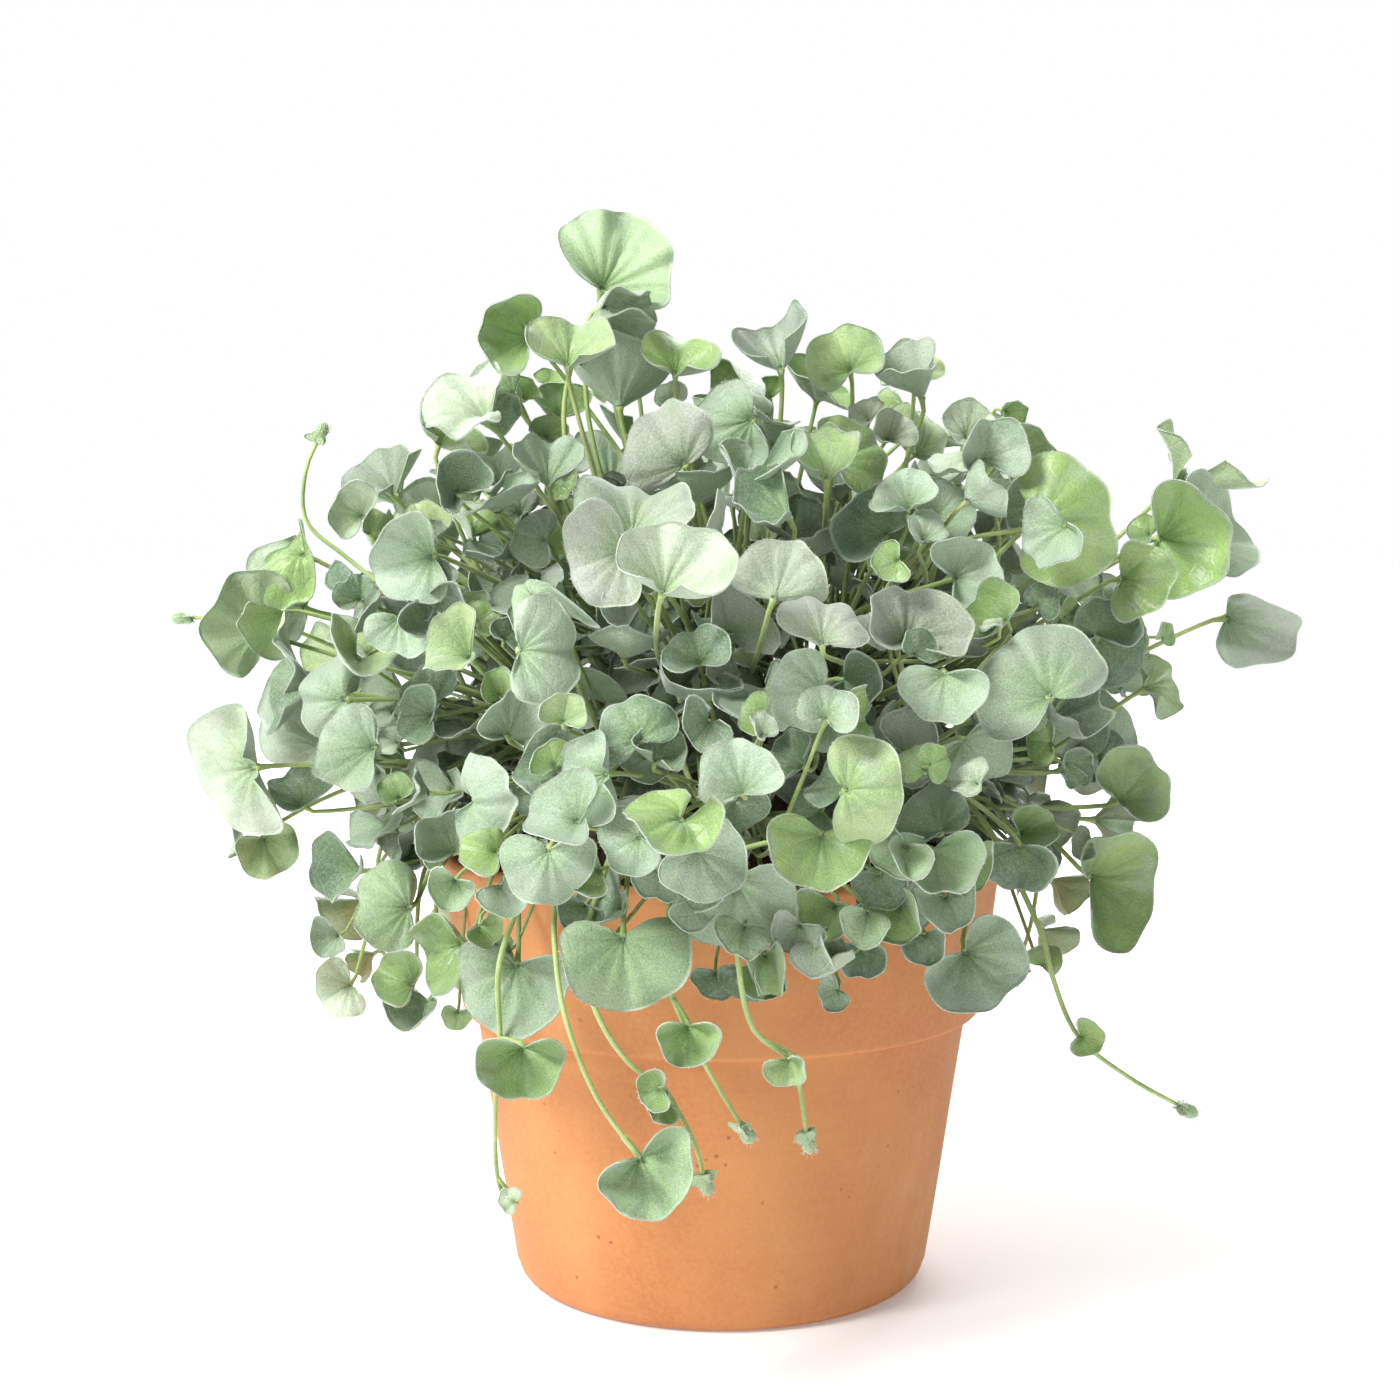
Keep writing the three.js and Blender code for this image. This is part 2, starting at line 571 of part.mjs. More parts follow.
// Line of a stem: straight in its hole, then bent over to its tip
function stemLine(root, tip) {
  const ground = soilHeight(Math.hypot(root.x, root.y));
  const foot = vector(root.x, root.y, ground - ROOT_DEPTH);
  const collar = vector(root.x, root.y, ground + 3);
  const lift = Math.max(8, 0.5 * (tip.z - collar.z));
  const bend = [0.35, 0.7, 1].map((t) => bezier(
    collar,
    vector(collar.x, collar.y, collar.z + lift),
    along(tip, vector(tip.x, tip.y, 0).normalize(), -8).add(vector(0, 0, 3)),
    tip,
    t,
  ));
  return [foot, collar, ...bend];
}

// The stem ends in a knot, a solid of triangles whose lowest five are open to the
// stem. Each of the others can carry one stalk.
function makeStem(number) {
  const direction = stemDirection(number);
  const tip = along(vector(0, 0, CROWN_HEIGHT), direction, STEM_REACH);
  const level = Math.hypot(direction.x, direction.y);
  const root = vector(direction.x, direction.y, 0).multiplyScalar(ROOT_CIRCLE * Math.sqrt(level));
  const line = stemLine(root, tip);
  const radii = line.map((_, k) => STEM_RADIUS * (1 - 0.06 * k));
  const rings = ringsAlong(line, radii, STEM_SIDES, STEM_NORMAL);
  rings.pop();
  const onward = tip.clone().sub(line[line.length - 2]).normalize();
  const side = along(STEM_NORMAL, onward, -STEM_NORMAL.dot(onward)).normalize();
  const other = onward.clone().cross(side);
  const knotRing = (latitude, offset) => Array.from({ length: 5 }, (_, j) => {
    const turn = (2 * Math.PI * (j + offset)) / 5;
    const reach = KNOT_RADIUS * Math.cos(latitude);
    const point = along(tip, side, reach * Math.cos(turn)).addScaledVector(other, reach * Math.sin(turn));
    return point.addScaledVector(onward, KNOT_RADIUS * Math.sin(latitude));
  });
  const latitude = Math.atan(0.5);
  rings.push(knotRing(-latitude, 0), knotRing(latitude, 0.5));
  const positions = [...rings.flat(), along(tip, onward, KNOT_RADIUS)];
  const triangles = [[0, 2, 1], [0, 3, 2], [0, 4, 3]];
  const lower = 5 * (rings.length - 2);
  for (let i = 0; i < rings.length - 2; i += 1) {
    for (let j = 0; j < 5; j += 1) {
      const a = 5 * i + j;
      const b = 5 * i + ((j + 1) % 5);
      triangles.push([a, b, b + 5], [a, b + 5, a + 5]);
    }
  }
  const facets = [];
  for (let j = 0; j < 5; j += 1) {
    const k = (j + 1) % 5;
    const upper = lower + 5;
    facets.push([lower + j, lower + k, upper + j]);
    facets.push([lower + k, upper + k, upper + j]);
    facets.push([upper + j, upper + k, positions.length - 1]);
  }
  const free = facets.map((ring) => {
    const middle = ring.reduce((sum, i) => sum.add(positions[i]), vector(0, 0, 0)).divideScalar(3);
    return { ring, middle, normal: middle.clone().sub(tip).normalize() };
  });
  return { direction, tip, line, skin: { positions, triangles }, free, leaves: 0 };
}

// The stem and its knot as one solid, before any stalk has grown on it
function bareStem(stem) {
  const triangles = [...stem.skin.triangles, ...stem.free.map((facet) => facet.ring)];
  return solidFrom(stem.skin.positions, triangles);
}

// Stalks

const BOWS = [[0, 0], [6, 0], [6, 90], [6, 180], [6, 270], [12, 45], [12, 135], [12, 225], [12, 315],
  [18, 0], [18, 90], [18, 180], [18, 270]];

// A stalk leaves its stem's knot, climbs over the pot's rim where its leaf hangs
// lower, and meets the blade from below; a bow swings its middle aside
function stalkLine(facet, leaf, [bow, bowTurn]) {
  const start = along(facet.middle, facet.normal, SHOULDER_LENGTH);
  const neck = neckPoint(leaf);
  const chord = neck.clone().sub(start);
  const heading = chord.clone().normalize();
  const reach = chord.length() / 3;
  const climb = Math.max(0, 118 - leaf.joint.z) * 0.45;
  const outward = vector(leaf.joint.x, leaf.joint.y, 0).normalize();
  const leave = facet.normal.clone().add(heading).add(vector(0, 0, 0.3)).normalize();
  const arrive = leaf.midrib.clone().multiplyScalar(0.3).addScaledVector(leaf.up, 0.6).add(heading).normalize();
  const p1 = along(start, leave, reach).add(vector(0, 0, climb)).addScaledVector(outward, 0.4 * climb);
  const p2 = along(neck, arrive, -reach).addScaledVector(outward, 0.3 * climb);
  const sideways = bendNormal(start, p1, neck);
  const other = heading.cross(sideways);
  const turn = radians(bowTurn);
  [p1, p2].forEach((p) => {
    p.addScaledVector(sideways, bow * Math.cos(turn)).addScaledVector(other, bow * Math.sin(turn));
  });
  const shares = chord.length() > LONG_STALK ? [0, 0.36, 0.7] : [0, 0.5];
  const points = shares.map((t) => bezier(start, p1, p2, neck, t));
  return { points: [...points, neck], normal: bendNormal(start, p1, neck) };
}

// The stalk meets the blade from below
function neckPoint(leaf) {
  return along(along(leaf.joint, leaf.up, -NECK_LENGTH), leaf.midrib, -0.3 * NECK_LENGTH);
}

function stalkRadii(count, extra = 0) {
  return Array.from({ length: count }, (_, i) => (
    STALK_RADIUS + (STALK_TIP_RADIUS - STALK_RADIUS) * (i / (count - 1)) + extra
  ));
}

function stalkRings(line) {
  return ringsAlong(line.points, stalkRadii(line.points.length), STALK_SIDES, line.normal);
}

function stalkSolid(points, normal, extra) {
  return barSolid(points, stalkRadii(points.length, extra), STALK_SIDES, normal);
}

// Keeping nodes clear of each other

const placed = [];

function place(solid, owner = null) {
  placed.push({ solid, owner, box: solid.boundingBox() });
}

function boxesMeet(a, b) {
  return [0, 1, 2].every((k) => a.min[k] <= b.max[k] && b.min[k] <= a.max[k]);
}

function touchesAny(solid, exceptOwner = undefined) {
  const box = solid.boundingBox();
  return placed.some((piece) => {
    if (piece.owner === exceptOwner || !boxesMeet(box, piece.box)) return false;
    const overlap = solid.intersect(piece.solid);
    const touches = !overlap.isEmpty();
    overlap.delete();
    return touches;
  });
}

// Pot and soil

function latheSolid(profile, sides) {
  const positions = [];
  const triangles = [];
  const count = profile.length;
  for (let i = 0; i < sides; i += 1) {
    const turn = (2 * Math.PI * i) / sides;
    profile.forEach(([radius, height]) => {
      positions.push(vector(radius * Math.cos(turn), radius * Math.sin(turn), height));
    });
  }
  for (let i = 0; i < sides; i += 1) {
    const next = ((i + 1) % sides) * count;
    for (let j = 0; j < count; j += 1) {
      const k = (j + 1) % count;
      const [a, b, c, d] = [i * count + j, next + j, next + k, i * count + k];
      triangles.push([a, b, c], [a, c, d]);
    }
  }
  return solidFrom(positions, triangles);
}

function outerRadius(height) {
  const stepHeight = POT_HEIGHT - BAND_HEIGHT;
  if (height >= stepHeight) {
    return BAND_FOOT_RADIUS + (RIM_RADIUS - BAND_FOOT_RADIUS) * ((height - stepHeight) / BAND_HEIGHT);
  }
  const bodyTop = BAND_FOOT_RADIUS - STEP_WIDTH;
  return FOOT_RADIUS + (bodyTop - FOOT_RADIUS) * (height / stepHeight);
}

function innerRadius(height) {
  return FOOT_RADIUS - POT_WALL
    + (RIM_RADIUS - POT_WALL - FOOT_RADIUS + POT_WALL) * ((height - POT_FLOOR) / (POT_HEIGHT - POT_FLOOR));
}

// The pot's section, from the foot up the outside, over the rim and down the inside
function potProfile() {
  const stepHeight = POT_HEIGHT - BAND_HEIGHT;
  const diagonal = 1 - Math.SQRT1_2;
  return [
    [DRAIN_RADIUS, 0],
    [FOOT_RADIUS - FOOT_ROUND, 0],
    [FOOT_RADIUS - FOOT_ROUND * diagonal, FOOT_ROUND * diagonal],
    [outerRadius(FOOT_ROUND), FOOT_ROUND],
    [outerRadius(stepHeight - 0.8), stepHeight - 0.8],
    [BAND_FOOT_RADIUS - 0.5, stepHeight + 0.2],
    [BAND_FOOT_RADIUS, stepHeight + 1.2],
    [outerRadius(POT_HEIGHT - EDGE_ROUND), POT_HEIGHT - EDGE_ROUND],
    [RIM_RADIUS - EDGE_ROUND * diagonal, POT_HEIGHT - EDGE_ROUND * diagonal],
    [RIM_RADIUS - EDGE_ROUND, POT_HEIGHT],
    [RIM_RADIUS - POT_WALL + EDGE_ROUND * diagonal, POT_HEIGHT - EDGE_ROUND * diagonal],
    [innerRadius(POT_HEIGHT - EDGE_ROUND), POT_HEIGHT - EDGE_ROUND],
    [innerRadius(POT_FLOOR), POT_FLOOR],
    [DRAIN_RADIUS, POT_FLOOR],
  ];
}

// Soil fills the pot and domes up to the crown of the plant
function soilSolid() {
  const bottom = POT_FLOOR + SOIL_GAP;
  const wall = (height) => innerRadius(height) - SOIL_GAP - 0.2;
  const rings = [0.8, 0.6, 0.4, 0.2].map((share) => {
    const radius = share * wall(SOIL_EDGE_HEIGHT);
    return [radius, soilHeight(radius)];
  });
  const profile = [
    [0, bottom],
    [wall(bottom), bottom],
    [wall(SOIL_EDGE_HEIGHT), SOIL_EDGE_HEIGHT],
    ...rings,
    [0, SOIL_CROWN_HEIGHT],
  ];
  const positions = [];
  const triangles = [];
  const rim = profile.length - 2;
  for (let i = 0; i < SOIL_SIDES; i += 1) {
    const turn = (2 * Math.PI * i) / SOIL_SIDES;
    profile.slice(1, -1).forEach(([radius, height]) => {
      positions.push(vector(radius * Math.cos(turn), radius * Math.sin(turn), height));
    });
  }
  const low = positions.push(vector(0, 0, bottom)) - 1;
  const high = positions.push(vector(0, 0, SOIL_CROWN_HEIGHT)) - 1;
  for (let i = 0; i < SOIL_SIDES; i += 1) {
    const here = i * rim;
    const next = ((i + 1) % SOIL_SIDES) * rim;
    triangles.push([low, next, here], [here + rim - 1, next + rim - 1, high]);
    for (let j = 0; j < rim - 1; j += 1) {
      triangles.push([here + j, next + j, next + j + 1], [here + j, next + j + 1, here + j + 1]);
    }
  }
  return solidFrom(positions, triangles);
}

// A plain hole round the foot of a stem
function holeSolid(line, radius, sides, normal) {
  const reach = (radius + HOLE_CLEARANCE) / Math.cos(Math.PI / sides);
  const bottom = line[0].clone().add(vector(0, 0, -SOIL_GAP));
  const top = line[0].clone().add(vector(0, 0, ROOT_DEPTH + 30));
  return barSolid([bottom, top], [reach, reach], sides, normal);
}

// Fusing a node's pieces into one body, without loose scraps or sealed hollows
function fused(solids) {
  const whole = solids.reduce((sum, solid) => sum.add(solid));
  const bodies = whole.decompose();
  return bodies.reduce((big, body) => (body.volume() > big.volume() ? body : big));
}

function meshFrom(name, solid, color, roughness) {
  const { vertProperties, triVerts } = solid.getMesh();
  const geometry = new THREE.BufferGeometry();
  geometry.setAttribute('position', new THREE.BufferAttribute(new Float32Array(vertProperties), 3));
  geometry.setIndex(new THREE.BufferAttribute(new Uint32Array(triVerts), 1));
  geometry.computeVertexNormals();
  const material = new THREE.MeshStandardMaterial({ color, roughness, metalness: 0 });
  const mesh = new THREE.Mesh(geometry, material);
  mesh.name = name;
  return mesh;
}

// Growing the plant

const nodes = new Map();

function addTo(node, solid) {
  if (!nodes.has(node)) nodes.set(node, []);
  nodes.get(node).push(solid);
  place(solid);
}

const numbered = (name, index) => `${name}_${String(index + 1).padStart(2, '0')}`;

const pot = latheSolid(potProfile(), POT_SIDES);
const soil = soilSolid();
const holes = [];
place(pot);
place(soil, 'soil');

const stems = Array.from({ length: STEM_COUNT }, (_, i) => makeStem(i));
stems.forEach((stem) => {
  holes.push(holeSolid(stem.line, STEM_RADIUS, STEM_SIDES, STEM_NORMAL));
  place(bareStem(stem), stem);
});

// Runners come out of the soil beside the rim and hang over it or reach out.
// The root and the first bend move aside until the runner is clear.
const ROOT_TURNS = [0, 10, -10, 20, -20, 30, -30, 40, -40];
const FIRST_LIFTS = [0, 5, -5, 10];

function runnerBar(route, hasBud, rootTurn) {
  const level = vector(route[0].x, route[0].y, 0).normalize();
  level.applyAxisAngle(vector(0, 0, 1), radians(rootTurn));
  const side = vector(-level.y, level.x, 0);
  const root = level.clone().multiplyScalar(RUNNER_ROOT_CIRCLE);
  const ground = soilHeight(RUNNER_ROOT_CIRCLE);
  const foot = vector(root.x, root.y, ground - ROOT_DEPTH);
  const collar = vector(root.x, root.y, ground + 3);
  const curve = new THREE.CatmullRomCurve3([collar, ...route], false, 'centripetal');
  const steps = Math.max(4, Math.round(curve.getLength() / RUNNER_STEP));
  const line = [foot, ...curve.getSpacedPoints(steps)];
  const radii = line.map((_, i) => RUNNER_RADIUS * (1 - 0.25 * (i / line.length)));
  if (hasBud) {
    const end = line[line.length - 1];
    const onward = end.clone().sub(line[line.length - 2]).normalize();
    line.push(along(end, onward, 0.45 * BUD.length), along(end, onward, BUD.length));
    radii.push(BUD.radius, 0.35);
  }
  const thick = barSolid(line, radii.map((r) => r + CLEARANCE), RUNNER_SIDES, side);
  const isClear = !touchesAny(thick, 'soil');
  thick.delete();
  return { line, radii, side, isClear, points: curve.getSpacedPoints(60) };
}

function growRunner(route, hasBud, node) {
  const tries = FIRST_LIFTS.flatMap((lift) => ROOT_TURNS.map((turn) => {
    const [first, ...others] = route;
    return runnerBar([along(first, vector(0, 0, 1), lift), ...others], hasBud, turn);
  }));
  const runner = tries.find((bar) => bar.isClear) || tries[0];
  holes.push(holeSolid(runner.line, RUNNER_RADIUS, RUNNER_SIDES, runner.side));
  addTo(node, barSolid(runner.line, runner.radii, RUNNER_SIDES, runner.side));
  return runner.points;
}

// A leaf on a runner has a short stalk from the runner beside it
function growRunnerLeaf(leaf, runnerPoints, node) {
  const offBy = (point) => Math.abs(point.distanceTo(leaf.joint) - RUNNER_STALK);
  const start = runnerPoints.reduce((best, point) => (offBy(point) < offBy(best) ? point : best));
  const points = [start, neckPoint(leaf)];
  const normal = bendNormal(points[0], points[1], leaf.joint);
  addTo(node, leafSolid(leaf, { points, normal }));
}

let leafNumber = 0;
FRONT_RUNNERS.forEach((runner, i) => {
  const node = numbered('runner', i);
  const route = runner.route.map(([px, py, depth]) => sightPoint(px, py, depth));
  const points = growRunner(route, runner.bud, node);
  runner.leaves.forEach((row) => {
    leafNumber += 1;
    growRunnerLeaf(measuredLeaf(row, 1000 + leafNumber, (leaf) => leaf.layer), points, node);
  });
});

BACK_RUNNERS.forEach(([compass, drop], i) => {
  const node = numbered('runner', FRONT_RUNNERS.length + i);
  const turn = radians(compass);
  const outward = vector(Math.cos(turn), Math.sin(turn), 0);
  const at = (reach, height) => along(vector(0, 0, height), outward, reach);
  const route = [at(62, 112), at(76, 108), at(83, 96), at(82, POT_HEIGHT - 0.6 * drop), at(78, POT_HEIGHT - drop)];
  const points = growRunner(route, true, node);
  const random = randomNumbers(SEED + 31 * i);
  [0.72, 0.88].forEach((share, k) => {
    const joint = along(points[Math.round(60 * share)], outward, RUNNER_STALK - 1);
    const midrib = vector(-outward.y, outward.x, 0).multiplyScalar(random() - 0.5).add(vector(0, 0, -1));
    const leaf = { width: 17 - 5 * k, fold: 15, cup: 0.1, joint: joint.add(vector(0, 0, 1)) };
    const facing = along(vector(0, 0, 0.4), outward, 1);
    const whole = withRipple(withAxes(leaf, midrib.normalize(), facing, 0), random);
    growRunnerLeaf(whole, points, node);
  });
});

// A leaf slides along the line of sight, or outward, until it is clear
const SLIDES = [0, -3, 3, -6, 6, -10, 10, -15, 15, 20, -20, 26, -26];
const STEMS_TRIED = 7;
const FACETS_TRIED = 3;
const LOAD_COST = 0.014;
const FRONT_LIMIT = -112;

function stemDistance(stem, leaf) {
  const toLeaf = leaf.joint.clone().sub(vector(0, 0, CROWN_HEIGHT)).normalize();
  return 1 - stem.direction.dot(toLeaf) + LOAD_COST * stem.leaves;
}

// The thick start of a stalk, which only has to keep clear of other stems
function shoulderSolid(facet, line, extra) {
  const radii = [0.6 * KNOT_RADIUS + extra, STALK_RADIUS + extra];
  return barSolid([facet.middle, line.points[0]], radii, STEM_SIDES, line.normal);
}

// The last of a stalk, from its neck to the blade
function neckSolid(leaf, extra) {
  return stalkSolid([neckPoint(leaf), leaf.joint], leaf.across, extra);
}

// The first stalk that reaches a leaf without touching anything
function findStalk(stem, leaf) {
  const wanted = leaf.joint.clone().sub(stem.tip).normalize();
  const facets = [...stem.free].sort((a, b) => b.normal.dot(wanted) - a.normal.dot(wanted));
  for (const facet of facets.slice(0, FACETS_TRIED)) {
    for (const bow of BOWS) {
      const line = stalkLine(facet, leaf, bow);
      const thick = stalkSolid(line.points, line.normal, CLEARANCE);
      const blade = bladeSolid(leaf, BLADE_THICKNESS);
      const overBlade = thick.intersect(blade);
      const shoulder = shoulderSolid(facet, line, CLEARANCE);
      const isClear = overBlade.isEmpty() && !touchesAny(thick) && !touchesAny(shoulder, stem);
      [thick, blade, overBlade, shoulder].forEach((solid) => solid.delete());
      if (isClear) return { facet, line };
    }
  }
  return null;
}

function growLeaf(leaf) {
  for (const slide of SLIDES) {
    const moved = { ...leaf, joint: along(leaf.joint, leaf.sight, slide) };
    const spread = bladeSolid(moved, BLADE_THICKNESS + 2 * CLEARANCE, CLEARANCE);
    const neck = neckSolid(moved, CLEARANCE);
    const isClear = moved.joint.y > FRONT_LIMIT && !touchesAny(spread) && !touchesAny(neck);
    spread.delete();
    neck.delete();
    if (isClear) {
      const near = [...stems].sort((a, b) => stemDistance(a, moved) - stemDistance(b, moved));
      for (const stem of near.slice(0, STEMS_TRIED)) {
        const found = findStalk(stem, moved);
        if (found) {
          addLeafTo(stem.skin, found.facet.ring, moved, stalkRings(found.line));
          stem.free.splice(stem.free.indexOf(found.facet), 1);
          stem.leaves += 1;
          place(bladeSolid(moved, BLADE_THICKNESS));
          place(neckSolid(moved, 0));
          place(stalkSolid(found.line.points, found.line.normal, 0));
          place(shoulderSolid(found.facet, found.line, 0), stem);
          return moved;
        }
      }
    }
  }
  return null;
}

const grown = [];
FRONT_LEAVES.forEach((row, number) => {
  const leaf = measuredLeaf(row, number, (l) => l.layer * moundDepth(l.x, l.y));
  const result = growLeaf(leaf);
  if (result) grown.push(result);
});

// Leaves for the rest of the mound, from an even spread of directions
const spreadRandom = randomNumbers(SEED);
for (let i = 0; i < SPREAD_POINTS; i += 1) {
  const height = SPREAD_LOWEST + (0.98 - SPREAD_LOWEST) * ((i + 0.5) / SPREAD_POINTS);
  const turn = i * GOLDEN_TURN + 0.3 * spreadRandom();
  const level = Math.sqrt(1 - height * height);
  const outward = vector(level * Math.cos(turn), level * Math.sin(turn), height);
  const layer = 0.74 + 0.26 * spreadRandom();
  const inset = outward.z > 0 ? SPREAD_TOP_INSET : SPREAD_FOOT_INSET;
  const joint = vector(
    outward.x * (MOUND.halfWidth - 16) * layer,
    outward.y * (MOUND.halfDepth + 2) * layer,
    MOUND.centre + outward.z * (MOUND.halfHeight - inset) * layer,
  );
  const width = 19 + 9 * spreadRandom();
  const droop = spreadRandom();
  const sway = spreadRandom() - 0.5;
  const roll = 50 * (spreadRandom() - 0.5);
  const fold = 44 * spreadRandom() - 12;
  const cup = 0.4 * spreadRandom() - 0.05;
  const facing = outward.clone().add(vector(0, 0, 0.5)).normalize();
  const tangent = vector(-outward.y, outward.x, 0).normalize();
  const midrib = along(outward, tangent, 2.2 * sway).add(vector(0, 0, 0.9 - 2.2 * droop)).normalize();
  const leaf = withRipple(
    withAxes({ width, fold, cup, joint, sight: outward }, midrib, facing, roll),
    randomNumbers(SEED + 104729 + i),
  );
  const hiddenInFront = joint.y < -20 && Math.abs(joint.x) < 105;
  const crowded = grown.some((other) => other.joint.distanceTo(joint) < SPREAD_SPACING);
  if (!hiddenInFront && !crowded) {
    const result = growLeaf(leaf);
    if (result) grown.push(result);
  }
}

const LEAF_GREEN = 0xa9bfa8;
const group = new THREE.Group();
group.add(meshFrom('terracotta_pot', pot, 0xc98a5f, 0.85));
const holedSoil = holes.reduce((rest, hole) => rest.subtract(hole), soil);
group.add(meshFrom('potting_soil', holedSoil, 0x3a2a22, 0.95));
stems.forEach((stem, i) => {
  group.add(meshFrom(numbered('leafy_stem', i), bareStem(stem), LEAF_GREEN, 0.7));
});
nodes.forEach((solids, node) => {
  group.add(meshFrom(node, fused(solids), LEAF_GREEN, 0.7));
});

export default group;
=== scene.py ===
import math

import bpy
import numpy as np
from mathutils.bvhtree import BVHTree
from mathutils.kdtree import KDTree
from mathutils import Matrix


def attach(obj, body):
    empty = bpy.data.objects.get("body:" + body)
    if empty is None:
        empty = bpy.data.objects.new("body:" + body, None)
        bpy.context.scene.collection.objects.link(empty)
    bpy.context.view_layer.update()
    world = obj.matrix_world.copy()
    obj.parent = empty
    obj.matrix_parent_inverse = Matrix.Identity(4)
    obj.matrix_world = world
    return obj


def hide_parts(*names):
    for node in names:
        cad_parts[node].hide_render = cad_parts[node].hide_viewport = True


# Potted silver ponyfoot. Lengths are in millimetres up to the point where a mesh is
# made, +Z is up, the pot's axis is on Z and the photographed front faces -Y.

MM = 0.001

# Terracotta pot
POT_HEIGHT = 100
RIM_RADIUS = 65
BAND_HEIGHT = 37
BAND_FOOT_RADIUS = 60
STEP_WIDTH = 3
FOOT_RADIUS = 47.3
POT_WALL = 5.5
POT_FLOOR = 7
DRAIN_RADIUS = 7
EDGE_ROUND = 2
FOOT_ROUND = 4.5
POT_SIDES = 160
POT_WOBBLE = 0.06

# Soil
SOIL_GAP = 0.3
SOIL_EDGE_HEIGHT = 91
SOIL_CROWN_HEIGHT = 126

# Stems and runners
CROWN_HEIGHT = 106
STEM_COUNT = 26
STEM_REACH = 50
ROOT_CIRCLE = 42
ROOT_DEPTH = 12
LOWEST_STEM = 2
STEM_RADIUS = 1.5
STEM_TIP_RADIUS = 1.15
RUNNER_ROOT_CIRCLE = 49
RUNNER_STALK = 6
ROOT_TURNS = [0, 10, -10, 20, -20, 30, -30, 40, -40]
FIRST_LIFTS = [0, 5, -5, 10]
BUD_LENGTH = 4.5
BUD_HAIRS = 150

# Leaves
CAD_THICKNESS = 0.7
CAD_STALK_TIP = 0.75
LARGE_LEAF = 21
RIM_ANGLES_LARGE = [-124, -95, -58, -20, 20, 58, 95, 124]
RIM_ANGLES_SMALL = [-118, -75, -25, 25, 75, 118]
MIDRIB_SHARE = 0.56
NECK_LENGTH = 2.6
EDGE_ANGLE = 137
BLADE_THICKNESS = 0.42
STALK_RADIUS = 0.7
STALK_TIP_RADIUS = 0.5
RUNNER_RADIUS = 0.72
RUNNER_TIP_RADIUS = 0.45
VEIN_STEP = 30.5
SEED = 20731

# The mound, and the even spread of leaves over its sides and back
MOUND = {"centre": 140, "half_width": 125, "half_height": 105, "half_depth": 110}
SPREAD_POINTS = 184
SPREAD_LOWEST = -0.42
SPREAD_TOP_INSET = 34
SPREAD_FOOT_INSET = 12
SLIDES = [0, -3, 3, -6, 6, -10, 10, -15, 15, 20, -20, 26, -26]
SPREAD_TONES = ["silver", "silver", "fresh_silver", "fresh", "fresh_pale", "grey", "deep", "pale"]
GOLDEN_TURN = math.pi * (3 - math.sqrt(5))

# Small leaves that hang over the rim, and those that fill the mound between larger ones
SKIRT_TRIES = 700
SKIRT_LEAVES = 90
SKIRT_TONES = ["deep", "silver", "fresh_silver", "fresh", "grey", "silver"]
INNER_TRIES = 900
INNER_LEAVES = 320
INNER_TOP = 182
# Inner leaves take the darker tone more often, partly as painted shade for the inside of the mound.
INNER_TONES = ["deep", "deep", "silver", "fresh_silver", "fresh", "grey", "deep", "silver"]
INNER_SIZE = (108, 104, 92)

# The measured view: eye, tilt, and focal length in pixels of a view 1400 wide
VIEW = {"x": -4.9, "y": -532, "z": 175, "pitch": 4.4, "focal": 2300, "centre": 700, "size": 1400}


def linear(red, green, blue):
    """Scene colour of an 8-bit display colour."""
    def one(value):
        value /= 255
        return value / 12.92 if value <= 0.04045 else ((value + 0.055) / 1.055) ** 2.4
    return (one(red), one(green), one(blue))


TONES = {
    "silver": linear(152, 174, 150),
    "pale": linear(190, 204, 182),
    "fresh": linear(140, 172, 96),
    "fresh_pale": linear(172, 196, 140),
    "fresh_silver": linear(146, 176, 128),
    "grey": linear(150, 162, 150),
    "mauve": linear(152, 156, 148),
    # A darker green, partly the leaves' own colour and partly painted shade on leaves that lie in shadow.
    "deep": linear(80, 112, 76),
}

